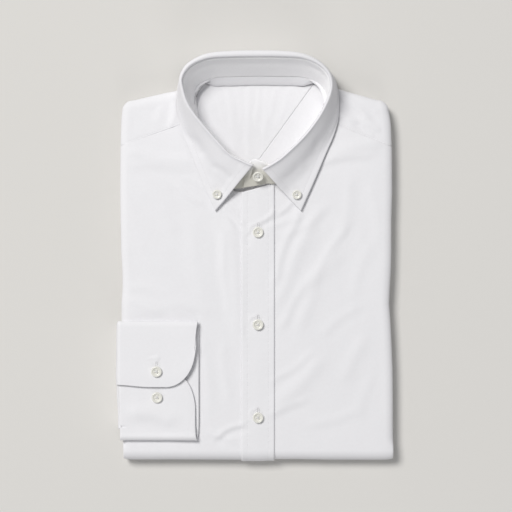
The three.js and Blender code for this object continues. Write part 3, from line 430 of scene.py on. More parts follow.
def stitches(name, path, up, pitch=2.6, length=1.9, radius=0.17):
    """A row of thread along a path: each stitch a six-sided capsule, `length` of each `pitch`,
    arched a little, its rings set out along `up` and across it."""
    arc = np.concatenate([[0], np.linalg.norm(np.diff(path, axis=0), axis=1).cumsum()])
    middle = np.arange(pitch / 2, arc[-1] - pitch / 2, pitch)

    def on_path(values, places):
        return np.stack([np.interp(places, arc, values[:, k]) for k in range(3)], -1)

    start, end = on_path(path, middle - length / 2), on_path(path, middle + length / 2)
    ahead = end - start
    lift = on_path(up, middle)
    beside = np.cross(ahead, lift)
    beside /= np.linalg.norm(beside, axis=1)[:, None]
    lift = np.cross(beside, ahead)
    lift /= np.linalg.norm(lift, axis=1)[:, None]
    around = np.arange(6) * math.pi / 3
    rings = [(-0.5, 0.0)] + [(a, r) for a, r in ((-0.42, 0.8), (-0.15, 1), (0.15, 1), (0.42, 0.8))
                             for _ in around] + [(0.5, 0.0)]
    along, out = np.array(rings).T
    angle = np.concatenate([[0], np.tile(around, 4), [0]])
    arch = 0.5 - 2 * along ** 2
    centre = (start + end)[:, None] / 2 + ahead[:, None] * along[None, :, None]
    points = (centre + beside[:, None] * (out * np.cos(angle) * radius)[None, :, None]
              + lift[:, None] * ((out * np.sin(angle) + 0.5 * arch) * radius)[None, :, None])
    ring = 1 + np.arange(24).reshape(4, 6)
    caps = np.concatenate([
        np.stack([np.zeros(6, int), ring[0], np.roll(ring[0], -1)], -1),
        np.stack([np.full(6, 25), np.roll(ring[-1], -1), ring[-1]], -1)])
    starts = (np.arange(len(middle)) * 26)[:, None, None]
    faces = (ring_quads(ring)[None] + starts).reshape(-1, 4).tolist()
    faces += (caps[None] + starts).reshape(-1, 3).tolist()
    row = put_mesh(name, points.reshape(-1, 3), faces, sewing_thread)
    return row


def thread_material():
    """Spun polyester sewing thread: white, with its twist as fine slanting light and dark."""
    material, start = new_material("sewing_thread")
    place = start.add("ShaderNodeTexCoord").out("Object")
    twist = noise(start, place, 2600.0, 1.0)
    close_material(start, twist * 0.00004, {
        "Base Color": tinted(start, (0.84, 0.835, 0.85), 0.18, twist), "Roughness": 0.6})
    return material


sewing_thread = thread_material()
placket = put_cloth("placket_cloth", placket_sheet(True), placket_sheet(False), cotton("placket_cotton"))
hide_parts("placket")

for side, sign in (("right", -1), ("left", 1)):
    y = np.linspace(62, FOLD_LINE, 400)
    x = np.full(400, PLACKET_CENTRE + sign * PLACKET_ROW)
    path = front_point(x, y, -placket_lift(x, y) + 0.04, np.zeros(400))
    stitches(f"placket_stitches_{side}", path, np.tile([0.0, 0, 1], (400, 1)))

# ----------------------------------------------------------------------------------------------
# Yoke: the shoulder piece, sewn to the fronts and the back neck. It lies flat, then rolls over
# the shoulder fold; the seams to the fronts are pressed towards it and sewn 1.8 mm in.
# ----------------------------------------------------------------------------------------------

SHOULDERS = np.array([
    (-128, 145.5), (-119, 149.5), (-71, 160.5), (-64, 168), (-54, 176.5), (-34, 182), (40, 182),
    (60, 178), (70, 169), (77, 161.5), (101, 154.8), (122, 149), (130, 145.5)])
BACK_NECK = np.array([
    (-57, 132.3), (-59, 148), (-56.5, 163), (-44, 171.2), (0, 172.8), (46, 172), (63, 166),
    (69.5, 151), (66, 133.2)])
YOKE_CORNER = 11
YOKE_ROW = 1.8  # the stitch row lies this far above the seam
YOKE_CREASES = [
    (-78, 146, -80, 128, 1, 3, 0.8, 0.6), (-86, 150, -92, 134, -1, 4, 0.4, 0.4),
    (-112, 138, -96, 128, 1, 5, 0.4, 0.3), (84, 152, 106, 134, 2, 4, 1.0, 0.8),
    (94, 152, 116, 140, 2, 3.5, 0.8, 0.6), (96, 130, 116, 122, 1, 3, 0.7, 0.6),
    (82, 136, 92, 126, 1, 3, 0.7, 0.5), (104, 124, 112, 117, 0, 2.5, 0.5, 0.5),
    (82, 172, 83, 150, 0, 10, 2.6, 0.0),
]


def above_seam(x):
    """Lower edge of the yoke, lapped 0.4 over the fronts."""
    return np.interp(x, FRONT_TOP[:, 0], FRONT_TOP[:, 1]) - 0.4


def smooth_through(knots, at):
    """Smooth curve through rows of points: on each span a cubic whose end slopes come from the
    neighbouring knots, weighted by the square root of their distances. `at` runs from 0 to 1."""
    knots = np.asarray(knots, float)
    ends = np.concatenate([2 * knots[:1] - knots[1:2], knots, 2 * knots[-1:] - knots[-2:-1]])
    step = np.sqrt(np.linalg.norm(np.diff(ends, axis=0), axis=-1, keepdims=True))
    step = np.maximum(step, 1e-3)
    place = np.clip(np.asarray(at, float) * (len(knots) - 1), 0, len(knots) - 1 - 1e-9)
    i = place.astype(int)
    t = (place - i).reshape((-1,) + (1,) * (knots.ndim - 1))
    a, b, c, d = ends[i], ends[i + 1], ends[i + 2], ends[i + 3]
    before, here, after = step[i], step[i + 1], step[i + 2]
    out = here * ((b - a) / before - (c - a) / (before + here) + (c - b) / here)
    into = here * ((c - b) / here - (d - b) / (here + after) + (d - c) / after)
    return (b + t * out + t ** 2 * (3 * (c - b) - 2 * out - into)
            + t ** 3 * (2 * (b - c) + out + into))


def shoulder_outline():
    """Knots round the shoulders from one front seam to the other, each with its outward way:
    up the side, a quarter circle, along the shoulder fold, a quarter circle, down the side."""
    spot = []
    corner = {}
    for side, sign in (("right", -1), ("left", 1)):
        x = np.interp(146, SIDE_Y, SIDE_X[side]) - sign * YOKE_CORNER
        corner[side] = (x, np.interp(x, SHOULDERS[:, 0], SHOULDERS[:, 1]) - YOKE_CORNER)
    low = {s: above_seam(corner[s][0] + (YOKE_CORNER if s == "left" else -YOKE_CORNER)) for s in corner}
    for share in np.arange(4) / 4:
        y = low["right"] + (corner["right"][1] - low["right"]) * share
        spot.append((np.interp(y, SIDE_Y, SIDE_X["right"]), y, -1, 0))
    for turn in np.arange(5) / 5 * math.pi / 2:
        spot.append((corner["right"][0] - YOKE_CORNER * math.cos(turn),
                     corner["right"][1] + YOKE_CORNER * math.sin(turn), -math.cos(turn), math.sin(turn)))
    for x in np.linspace(corner["right"][0], corner["left"][0], 23):
        ahead, behind, here = np.interp([x + 4, x - 4, x], SHOULDERS[:, 0], SHOULDERS[:, 1])
        size = math.hypot(1, (ahead - behind) / 8)
        spot.append((x, here, -(ahead - behind) / 8 / size, 1 / size))
    for turn in (1 - np.arange(1, 6) / 5) * math.pi / 2:
        spot.append((corner["left"][0] + YOKE_CORNER * math.cos(turn),
                     corner["left"][1] + YOKE_CORNER * math.sin(turn), math.cos(turn), math.sin(turn)))
    for share in np.arange(1, 5) / 4:
        y = corner["left"][1] + (low["left"] - corner["left"][1]) * share
        spot.append((np.interp(y, SIDE_Y, SIDE_X["left"]), y, 1, 0))
    return np.array(spot)


def yoke_sheet(depth):
    """From the seam and neckline straight out to the roll, then 0 to 140 degrees over the edge.
    Where the band meets the fronts it is held just above their seam. Round the neck it is cut
    back by up to 1 to lie under the stand's foot."""
    ends = [(0, -110), (0.1, -100), (0.2, -88), (0.3, -66)]
    ends = [(at, x, above_seam(x)) for at, x in ends]
    under_stand = BACK_NECK * (1.012, 1) + (0, 0.6)
    ends += [(0.34 + 0.33 * i / (len(under_stand) - 1), x, y) for i, (x, y) in enumerate(under_stand)]
    ends += [(at, x, above_seam(x)) for at, x in ((0.71, 74), (0.8, 94), (0.9, 104), (1, 112))]
    ends = np.array(ends)
    at = np.linspace(0, 1, 251)
    x, y, out_x, out_y = smooth_through(shoulder_outline(), at).T[:, :, None]
    inner_x, inner_y = (np.interp(at, ends[:, 0], ends[:, k])[:, None] for k in (1, 2))
    share = np.linspace(0, 1, 54)[None]
    flat_x = inner_x + (x - ROLL_WIDTH * out_x - inner_x) * share
    flat_y = inner_y + (y - ROLL_WIDTH * out_y - inner_y) * share
    roll = np.linspace(0.05, TUCK, 12)[None]
    past = (ROLL_WIDTH - depth) * np.sin(roll) - ROLL_WIDTH
    all_x = np.concatenate([flat_x, x + past * out_x], 1)
    all_y = np.concatenate([flat_y, y + past * out_y], 1)
    all_y = np.where(abs(all_x - 3) > 62, np.maximum(all_y, above_seam(all_x)), all_y)
    swell = creases(all_x, all_y, YOKE_CREASES) + 0.8 * drift(all_x, all_y)
    fade = np.concatenate([smooth((1 - share) * 50, 0, 14) + 0 * flat_x, 0 * past * x], 1)
    from_seam = all_y - above_seam(all_x)
    on_front = abs(all_x - 4) > 64
    groove = on_front * (0.12 * np.exp(-((from_seam - YOKE_ROW) / 0.7) ** 2)
                         + 0.04 * np.exp(-(from_seam / 1.2) ** 2))
    rolled = ROLL_RADIUS - (ROLL_RADIUS - depth) * np.cos(roll) + 0 * x
    down = np.concatenate([0 * flat_x + depth, rolled], 1)
    return np.stack([all_x, all_y, BUNDLE_HEIGHT + 0.16 + fade * swell - groove - down], -1)


yoke = put_cloth("yoke_cloth", yoke_sheet(0), yoke_sheet(CLOTH), cotton("yoke_cotton"))
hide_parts("yoke")

for side, first, last in (("right", -122, -76), ("left", 83, 124)):
    x = np.linspace(first, last, 120)
    y = above_seam(x) + YOKE_ROW
    swell = creases(x, y, YOKE_CREASES) + 0.8 * drift(x, y)
    inset = x - first if side == "right" else last - x
    height = BUNDLE_HEIGHT + smooth(inset, -2, 14) * swell
    stitches(f"yoke_stitches_{side}", np.stack([x, y, height], -1), np.tile([0.0, 0, 1], (120, 1)))

# ----------------------------------------------------------------------------------------------
# Hidden layers: back, tail and sleeves, folded into two stacks that show as soft rounded edges
# all round. The lower stack is the turned-up tail, a little wider on the left side.
# ----------------------------------------------------------------------------------------------

# Height, and how far in each level lies.
LAYERS = np.array([
    (0, 3.4), (1.0, 1.0), (2.4, 0.3), (3.2, 1.6), (4.0, 0.2), (5.6, 0.1), (6.4, 1.5), (7.2, 0.4),
    (8.8, 1.6), (9.8, 4.6), (12.2, 6.0), (14.6, 3.4), (16.6, 4.0), (17.8, 6.4), (18.3, 12.0)])
UPPER_STACK = 11  # height where the upper stack begins
LOWER_STACK_STEP = 1.0
LAYERS_CORNER = 12
NECK_MARGIN = 1.0
NECK_FLOOR = 11.6
NECK_CENTRE = np.array([3.0, 120.0])


def layers_ring(z, inset, upper):
    """Outline of the layers at one height: side lines less the inset, corners rounded by 12,
    shoulder fold, and the straight bottom inside the fronts' turn."""
    dip = np.clip(abs(z - FOLD_RADIUS) / 8.3, 0, 1)
    bottom = FOLD_LINE + 1 - 8.3 * math.sqrt(1 - dip * dip)
    y = np.concatenate([[min(bottom + 5, FOLD_LINE + 1)], np.linspace(FOLD_LINE + 1.5, 128, 150)])
    line = {}
    for side, sign in (("right", -1), ("left", 1)):
        step = (LOWER_STACK_STEP if side == "left" and not upper else 0) * smooth(-y, 50, 58)
        inside = inset + smooth(-y, 178.5, 183) * (0 if upper else 0.6 + step)
        waver = 0.35 * np.sin(y / 9 + 2.6 * z) + 0.25 * np.sin(y / 23 + 4.1 * z + sign)
        line[side] = side_at(side, y) + sign * (step - inside + 0.8 * (waver - 0.6))
    corner = {s: line[s][-1] for s in line}
    size = LAYERS_CORNER
    across = np.linspace(corner["right"] + size, corner["left"] - size, 90)
    fold = np.interp(across, SHOULDERS[:, 0], SHOULDERS[:, 1]) - inset
    fold += 0.3 * np.sin(across / 11 + 2.6 * z) - 0.3
    turn = np.linspace(0, math.pi / 2, 12)[1:-1]
    first = np.stack([corner["right"] + size - size * np.cos(turn), fold[0] - size + size * np.sin(turn)], -1)
    last = np.stack([corner["left"] - size + size * np.sin(turn), fold[-1] - size + size * np.cos(turn)], -1)
    base = np.linspace(line["left"][0] - 4, line["right"][0] + 4, 60)
    return np.concatenate([
        np.stack([line["right"], y], -1), first, np.stack([across, fold], -1), last,
        np.stack([line["left"], y], -1)[::-1], np.stack([base, 0 * base + bottom], -1)])


def neck_ring(ring):
    """The neck hollow's rim, a margin outside the neckline, met by a line from its centre to each
    point of a level's outline."""
    front = FRONT_TOP[(FRONT_TOP[:, 0] > -57) & (FRONT_TOP[:, 0] < 65)]
    rim = np.concatenate([front, BACK_NECK[::-1]]) - NECK_CENTRE
    way = np.arctan2(rim[:, 1], rim[:, 0])
    order = np.argsort(way)
    size = np.linalg.norm(rim, axis=1) + NECK_MARGIN
    aim = np.arctan2(*(ring - NECK_CENTRE).T[::-1])
    reach = np.interp(aim, way[order], size[order], period=2 * math.pi)
    return NECK_CENTRE + reach[:, None] * np.stack([np.cos(aim), np.sin(aim)], -1)


levels = np.linspace(0, LAYERS[-1, 0], 58)
rings = [layers_ring(z, np.interp(z, LAYERS[:, 0], LAYERS[:, 1]), z > UPPER_STACK) for z in levels]
rim = neck_ring(rings[-1])
flat_rings = rings + [rim + (rings[-1] - rim) * share for share in (0.75, 0.5, 0.25, 0)] + [rim]
heights = np.concatenate([levels, [18.6, 18.7, 18.7, 18.4, NECK_FLOOR]])
count = len(rim)
stack = np.concatenate([
    np.concatenate([r, np.full((count, 1), z)], 1) for r, z in zip(flat_rings, heights)])
middle = [np.append(rings[0].mean(0), 0.0), np.append(rim.mean(0), NECK_FLOOR)]
stack = np.concatenate([stack, middle])
at = np.arange(len(flat_rings) * count).reshape(-1, count)
side_faces = outward(stack, ring_quads(at))
lids = np.concatenate([
    np.stack([at[0], np.roll(at[0], -1), np.full(count, len(stack) - 2)], -1),
    np.stack([np.roll(at[-1], -1), at[-1], np.full(count, len(stack) - 1)], -1)])
lids = lids if side_faces[0, 0] == at[0, 0] else lids[:, ::-1]
ring_walk = np.concatenate([[0], np.linalg.norm(np.diff(rings[0], axis=0), axis=1).cumsum()])
walk = np.append(np.tile(ring_walk, len(flat_rings)), [0, 0])
climb = np.append(np.repeat(np.arange(len(flat_rings)) * 0.6, count), [0, 0])
layers = put_mesh("folded_layers_cloth", stack, side_faces.tolist() + lids.tolist(),
                  cotton("folded_cotton", (0.84, 0.836, 0.856)), np.stack([walk, climb], -1))
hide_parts("folded_layers")

# ----------------------------------------------------------------------------------------------
# Inner yoke: two pieces of the same cotton seen through the neck, joined on a slanting seam and
# lightly gathered below the back neck.
# ----------------------------------------------------------------------------------------------

LINING_REST = 13.1
LINING_GAP = 0.06  # either side of the seam
NECK_HOLLOW = np.array([
    (76, -33.5, 26.5), (85, -40.5, 36), (97, -46.6, 46), (112, -52.3, 56), (130, -56, 62.8),
    (148, -57, 66.5), (157, -55.5, 65.5), (166, -50, 60)])
GATHERS = [
    (-27, 164, -22, 128, 1, 3.4, 0.30, 0.5), (-16, 164, -13, 138, 1, 2.4, 0.24, 0.6),
    (-5, 164, -6, 106, -1, 3.6, 0.34, 0.6), (4, 164, 1, 134, 1, 2.2, 0.22, 0.6),
    (12.5, 164, 9, 120, 1, 3.2, 0.30, 0.6), (21, 164, 16, 140, -1, 2.4, 0.26, 0.6),
    (33, 164, 23, 130, 1, 3.2, 0.24, 0.6), (-38, 162, -30, 134, 1, 4, 0.3, 0.5),
    (-22, 104, -10, 88, 1, 4, 0.3, 0.4), (-44, 140, -38, 112, 2, 5, 0.35, 0.4),
]


def lining_sheet(side, depth):
    """Rows up the hollow, from the neck to the seam, which slants 63 across in 87 up; the left piece
    climbs by 2.2 times the square of the way across, and both sink a little to the seam."""
    y = np.linspace(76, 166, 110)[:, None]
    seam = -8.5 + (y - 76) * (63 / 87)
    start, end = (np.interp(y, NECK_HOLLOW[:, 0], NECK_HOLLOW[:, k]) for k in (1, 2))
    share = np.linspace(0, 1, 80 if side == "right" else 48)[None]
    if side == "right":
        x = start + (seam - LINING_GAP - start) * share
        climb = 0 * x
    else:
        end = np.maximum(end, seam + 1)
        x = seam + LINING_GAP + (end - seam - LINING_GAP) * share
        climb = 2.2 * share ** 2 + 0 * x
    groove = 0.12 * np.exp(-((x - seam) / 0.8) ** 2)
    swell = creases(x, y, GATHERS) + 0.5 * drift(x * 1.4, y * 1.4)
    swell = np.maximum(swell, -0.3) * smooth(166 - y, 1, 5)
    return np.stack([x, y + 0 * x, LINING_REST + climb + swell - groove - depth], -1)


inner_cotton = cotton("inner_yoke_cotton", (0.835, 0.831, 0.85))
for side, flat in (("right", (0.102, 0.088)), ("left", (0.036, 0.088))):
    inner_yoke = put_cloth(f"inner_yoke_{side}", lining_sheet(side, 0), lining_sheet(side, 0.9), inner_cotton)
    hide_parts(f"yoke_lining_{side}")

# ----------------------------------------------------------------------------------------------
# Collar: two layers of cotton round an interlining, turned and sewn 6 mm in from the edges. The
# stand leans back from the neckline, a narrow strip covers its seam inside, and the leaf falls
# over it to two buttoned points.
# ----------------------------------------------------------------------------------------------

COLLAR_CLOTH = 1.4
# Foot of the stand, crest, edge of the leaf, width of the roll, share of the leaf that is steep.
COLLAR = np.array([
    (-6, 67.6, 21.2, -1.3, 86.8, 39.6, -38.3, 43.1, 23.6, 3.6, 0.8),
    (-14.5, 66, 21.2, -10.5, 90.6, 39.8, -42.6, 53, 23.6, 3.6, 0.7),
    (-26.5, 67.4, 21.2, -22.4, 96.5, 40, -48.6, 66.5, 23.6, 3.6, 0.72),
    (-35, 76.4, 21.2, -31.8, 105.8, 40.8, -54.4, 80.5, 23.6, 3.6, 0.72),
    (-43, 89.4, 21.2, -41.2, 116.4, 41.6, -60.6, 95.5, 23.6, 3.6, 0.74),
    (-50, 105, 21.2, -49.2, 125.7, 43, -66.6, 110, 23.6, 3.6, 0.78),
    (-54.8, 121, 21.2, -56, 133.9, 44, -71.6, 124.6, 23.6, 3.6, 0.84),
    (-57, 136, 21.2, -62.6, 144.4, 45, -74.6, 139, 23.6, 3.6, 0.9),
    (-58.6, 150, 21.2, -66.7, 156.6, 46, -75, 153, 23.2, 3.6, 0.95),
    (-57.4, 161, 21.2, -68, 167.3, 47, -73.9, 166, 16, 3.6, 0.95),
    (-50.5, 167.4, 21.2, -61.2, 178, 48, -68.6, 181, 9, 4.4, 0.95),
    (-40, 171.2, 21.2, -45, 185.4, 48.6, -49.6, 191, 6, 5.6, 0.97),
    (-18, 172.2, 21.2, -20, 187.2, 49, -20.6, 193.6, 5, 5.9, 0.98),
    (2.5, 172.8, 21.2, 2.5, 187.5, 49, 2.5, 194.2, 5, 5.9, 0.98),
    (22, 172.4, 21.2, 24, 187.4, 49, 24.6, 193.8, 5, 5.7, 0.98),
    (45, 171.8, 21.2, 45.4, 185.8, 48.8, 48.6, 191, 6, 4.8, 0.97),
    (57.5, 168.2, 21.2, 60, 179.6, 48.2, 66, 183.4, 8.6, 4, 0.95),
    (65.4, 161.5, 21.2, 68.2, 171.4, 47.4, 76.2, 172.4, 13, 3.6, 0.95),
    (69, 149.5, 21.2, 70.6, 161.5, 46.8, 79.6, 159.5, 21, 3.6, 0.94),
    (66.4, 135, 21.2, 68.8, 151.6, 45.6, 80.8, 146, 23.6, 3.6, 0.92),
    (61.6, 121.5, 21.2, 62.7, 137.8, 44, 79.8, 131, 23.6, 3.6, 0.89),
    (56, 109.6, 21.2, 56, 127.2, 42.6, 75.6, 116, 23.6, 3.6, 0.83),
    (48.5, 98.2, 21.2, 45.4, 113.8, 41, 69.2, 101, 23.6, 3.6, 0.77),
    (38.4, 85.8, 21.2, 31.8, 100.4, 39.6, 61.8, 83.5, 23.6, 3.6, 0.7),
    (28, 76.2, 21.4, 22.4, 92.4, 39.4, 55.4, 68.5, 23.6, 3.6, 0.63),
    (18, 70.4, 22.6, 13.2, 86.6, 39, 49.8, 56, 23.6, 3.6, 0.58),
    (11, 70, 23, 6.4, 83.2, 38.6, 44.1, 43.1, 23.6, 3.6, 0.6),
])
STAND_END = np.array([(18, 70.4, 22.6, 13.6, 87.6, 38.8), (11, 70, 23, 9.0, 89.4, 38.6)])
STAND_LAP = np.array([
    (5, 68.6, 23.0, 3.8, 91.2, 38.0), (-1, 67.4, 23.2, -1.6, 91.8, 37.4),
    (-7, 66.6, 23.4, -6.6, 87.6, 35.6), (-11, 66.2, 23.6, -11.2, 78.0, 31.0)])
LEAF_DENTS = [
    (-65, 113, -52, 100, 2, 4, -0.9, 0.0), (-38, 84, -26, 76, 1, 3.5, -0.8, 0.0),
    (-25, 96, -15, 88, 1, 3, -0.6, 0.0), (-58, 96, -46, 84, 1, 4, 0.5, 0.0),
    (60, 108, 50, 92, 2, 4, -0.5, 0.0), (40, 84, 30, 74, 1, 4, -0.4, 0.0),
    (-62, 106, -34, 64, 2, 7, -0.9, 0.0),
]
TOPSTITCH = 6.0
LEAF_STATIONS = 400
LEAF_SECTIONS = 88
LEAF_ROW_START = 14  # section, inside the roll, from which the front edges are topstitched


def moved(sheet, distance):
    """Each point moved along the cross product of the steps down the rows and over the columns."""
    normal = np.cross(np.gradient(sheet, axis=0), np.gradient(sheet, axis=1))
    normal /= np.maximum(np.linalg.norm(normal, axis=-1, keepdims=True), 1e-9)
    return sheet + np.asarray(distance)[..., None] * normal


def leaf_sheets():
    """Outer and under face of the leaf, and the height of its dents. At each station nine knots go
    up over the crest, down the steep part and out to the edge. The under face is those knots moved
    in by the cloth, save that four others stand for the first four, over the stand."""
    at = np.linspace(0, 1, LEAF_STATIONS)
    crest, edge = (smooth_through(COLLAR[:, k:k + 3], at) for k in (3, 6))
    roll, steep = (np.interp(at, np.linspace(0, 1, len(COLLAR)), COLLAR[:, k]) for k in (9, 10))
    way = edge[:, :2] - crest[:, :2]
    reach = np.linalg.norm(way, axis=1)
    way = way / reach[:, None]
    drop = crest[:, 2] - edge[:, 2]
    heel = roll + (reach - roll) * steep

    def knots(rows):
        """Points from how far out each lies and how high, as columns of stations."""
        return np.stack([np.concatenate([crest[:, :2] + out[:, None] * way, high[:, None]], 1)
                         for out, high in rows])

    top, low = crest[:, 2], edge[:, 2]
    outer = knots([
        (0 * roll, top - 1.4), (0.12 * roll, top + 0.5), (0.5 * roll, top + 1.3), (roll, top - 0.6),
        (roll + 0.36 * (heel - roll), top - 0.34 * drop), (roll + 0.72 * (heel - roll), top - 0.7 * drop),
        (heel, low + 0.09 * drop), ((heel + reach) / 2, low + 0.02 * drop), (reach, low)])
    closing = knots([
        (0 * roll + 1.4, top - 1.6), (0 * roll + 1.4, top - 0.9), (0.5 * roll, top - 0.2),
        (roll - 1.4, top - 1.2)])
    inward = np.full((LEAF_STATIONS, len(outer)), -COLLAR_CLOTH)
    under = moved(outer.transpose(1, 0, 2), inward).transpose(1, 0, 2)
    under = np.concatenate([closing, under[len(closing):]])
    share = np.linspace(0, 1, LEAF_SECTIONS)
    outer, under = (smooth_through(k, share).transpose(1, 0, 2) for k in (outer, under))
    dent = creases(outer[..., 0], outer[..., 1], LEAF_DENTS)
    return outer, under, dent


def distances(sheet):
    """How far each point of the leaf lies from its long edge and from its nearer front edge."""
    down = np.linalg.norm(np.diff(sheet, axis=1), axis=2)
    from_edge = np.concatenate([down[:, ::-1].cumsum(1)[:, ::-1], np.zeros((len(sheet), 1))], 1)
    over = np.linalg.norm(np.diff(sheet, axis=0), axis=2)
    first = np.concatenate([np.zeros((1, sheet.shape[1])), over.cumsum(0)])
    return from_edge, np.minimum(first, first[-1] - first)


leaf_outer, leaf_under, leaf_dent = leaf_sheets()
from_edge, from_front = distances(leaf_outer)
inset = np.minimum(from_edge, from_front)
# Dents, a groove on the stitch row, a slight swell between it and the edge, and a rounded rim.
leaf_relief = (leaf_dent * smooth(from_edge, 0, 8) - 0.10 * np.exp(-((inset - TOPSTITCH) / 0.6) ** 2)
               + 0.08 * np.exp(-((inset - 2.6) / 2.2) ** 2) - 0.25 * np.exp(-(inset / 0.7) ** 2))
leaf_outer = moved(leaf_outer, leaf_relief)
leaf_under = moved(leaf_under, np.minimum(leaf_dent * smooth(from_edge, 0, 8), 0.0) * 0.6)
# The collar's cotton is a little darker than the fronts': painted shade to deepen the leaf where it turns
# from the light.
collar_cotton = cotton("collar_cotton", (0.835, 0.83, 0.852), 0.6)
leaf = put_cloth("collar_leaf_cloth", leaf_outer, leaf_under, collar_cotton)
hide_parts("collar_leaf")


def sample(grid, walk):
    """Values of a grid at fractional rows and columns, straight between its points."""
    i = np.clip(walk[:, 0].astype(int), 0, grid.shape[0] - 2)
    j = np.clip(walk[:, 1].astype(int), 0, grid.shape[1] - 2)
    p, q = (walk[:, 0] - i)[:, None], (walk[:, 1] - j)[:, None]
    return ((1 - p) * (1 - q) * grid[i, j] + p * (1 - q) * grid[i + 1, j]
            + (1 - p) * q * grid[i, j + 1] + p * q * grid[i + 1, j + 1])


def leaf_row():
    """The topstitching's line: down a front edge, along the long edge, up the other front edge,
    always 6 mm in, found by looking that distance up along the stations and the sections."""
    stations, sections = from_edge.shape
    normal = np.cross(np.gradient(leaf_outer, axis=0), np.gradient(leaf_outer, axis=1))
    normal /= np.linalg.norm(normal, axis=-1, keepdims=True)
    at_row = np.array([np.interp(-TOPSTITCH, -d, np.arange(sections)) for d in from_edge])
    near = np.arange(40)
    ends = np.array([
        (np.interp(TOPSTITCH, d[near], near), stations - 1 - np.interp(TOPSTITCH, d[::-1][near], near))
        for d in from_front.T])
    upward = range(LEAF_ROW_START, sections)
    first = [(ends[j, 0], j) for j in upward if j < at_row[int(ends[j, 0])]]
    last = [(ends[j, 1], j) for j in reversed(upward) if j < at_row[int(ends[j, 1])]]
    span = range(int(first[-1][0]) + 1, int(last[0][0]))
    walk = np.array(first + [(i, at_row[i]) for i in span] + last)
    return sample(leaf_outer, walk), sample(normal, walk)


row_path, row_up = leaf_row()
stitches("collar_stitches", row_path, row_up)


STAND_STATIONS = 360
STAND_ROWS = 44
STAND_TOP_GAP = 2.0  # the stand ends this far below the crest
SKIRT_ROWS = 11
SKIRT_IN = 2.3
SKIRT_DROP = 7.7


def stand_sheet():
    """Inner face of the stand: straight from foot to crest at each station, running on past the
    left end of the leaf over the right end. Round the neck a skirt joins it to the inner yoke,
    from 7.7 below the foot and 2.3 inside it; the skirt fades out at both ends of the neck."""
    whole = np.concatenate([COLLAR[:-2, :6], STAND_END, STAND_LAP])
    at = np.linspace(0, 1, STAND_STATIONS)
    foot, crest = (smooth_through(whole[:, k:k + 3], at) for k in (0, 3))
    crest = crest - [0, 0, STAND_TOP_GAP]
    share = np.linspace(0, 1, STAND_ROWS)[None, :, None]
    ahead = np.gradient(foot[:, :2], axis=0)
    ahead /= np.linalg.norm(ahead, axis=1)[:, None]
    station = at * (len(whole) - 1)
    at_back = (smooth(station, 0.3, 1.6) * (1 - smooth(station, 24.0, 25.4)))[:, None]
    inside = np.stack([SKIRT_IN * ahead[:, 1], -SKIRT_IN * ahead[:, 0], 0 * at - SKIRT_DROP], -1)
    start = foot + at_back * inside
    rise_part = np.linspace(0, 1, SKIRT_ROWS + 1)[None, :-1, None] ** 0.8
    below = start[:, None] + (foot - start)[:, None] * rise_part
    return np.concatenate([below, foot[:, None] + (crest - foot)[:, None] * share], 1)


stand_inner = stand_sheet()
# Up the stand a slow ripple along its length, a ridge below its upper edge with a hollow under
# that, and a slight belly.
stand_share = np.concatenate([np.zeros(SKIRT_ROWS), np.linspace(0, 1, STAND_ROWS)])[None]
stand_walk = np.linspace(0, 520, STAND_STATIONS)[:, None]
belly = (0.7 * np.sin(stand_walk / 12 + 1.5 * np.sin(stand_walk / 31)) * np.sin(math.pi * stand_share)
         + 0.9 * np.exp(-((stand_share - 0.93) / 0.06) ** 2)
         - 0.9 * np.exp(-((stand_share - 0.66) / 0.12) ** 2)
         + 0.5 * np.sin(math.pi * stand_share))
# The stand's cotton is paler than the rest: painted light for its back, which faces away from the key. Below
# y 90 it fades to a warm grey, whole below y 76: painted shade for its front under the leaf points.
stand = put_cloth("collar_stand_cloth", moved(stand_inner, belly * 0.6),
                  moved(stand_inner, 0 * belly - COLLAR_CLOTH),
                  cotton("stand_cotton", (0.985, 0.98, 0.99), 0.6, near=((0.67, 0.655, 0.59), 76)))
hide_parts("collar_stand")


STRIP_OUTER = 0.5
STRIP_INNER = (0.7, 8.2)  # at its ends and at the back
STRIP_TOP = 20.9


def strip_sheet(depth):
    """A band inside the stand's foot: its outer edge 0.5 inside the foot and up at 20.9, its inner
    edge 8.2 in at the back and 0.7 at its ends, where it sinks to the inner yoke."""
    foot = smooth_through(COLLAR[10:17, :2], np.linspace(0, 1, 160))
    ahead = np.gradient(foot, axis=0)
    ahead /= np.linalg.norm(ahead, axis=1)[:, None]
    inward = np.stack([ahead[:, 1], -ahead[:, 0]], -1)
    wide = STRIP_INNER[0] + (STRIP_INNER[1] - STRIP_INNER[0]) * smooth(foot[:, 1], 166.8, 172)
    share = np.linspace(0, 1, 14)[None]
    out = STRIP_OUTER + (wide[:, None] - STRIP_OUTER) * (1 - share)
    spot = foot[:, None] + inward[:, None] * out[..., None]
    low = 14.0 + 1.6 * smooth(foot[:, :1], 30, 62)
    waver = 0.10 * np.sin(foot[:, :1] / 2.1) * (1 - share)
    top = low + (STRIP_TOP - low) * smooth(foot[:, 1:], 164.5, 170.5)
    z = low + (top - low) * share ** 0.75 + waver - depth
    return np.concatenate([spot, z[..., None]], -1)


strip = put_cloth("neck_strip_cloth", strip_sheet(0), strip_sheet(0.5), cotton("strip_cotton"))
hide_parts("neck_strip")

# ----------------------------------------------------------------------------------------------
# Cuff: two layers and interlining, pressed flat with its rounded ends one over the other, sewn
# 6 mm in from its edges. The sleeve that brings it round the side ends in its straight edge.
# ----------------------------------------------------------------------------------------------

CUFF_SEAM = -128.4
CUFF_CLOTH = 1.4
CUFF_ACROSS = 28  # half axes of the quarter ellipse that rounds each end
CUFF_ALONG = 36
CUFF_FOLDS = (-168, -71)  # y of the lower fold, from which the under end comes, and the upper one
CUFF_UNDER_END = -108.5
CUFF_OVER_END = -125.3
CUFF_ROLL_STATIONS = 18
CUFF_STATIONS = 72
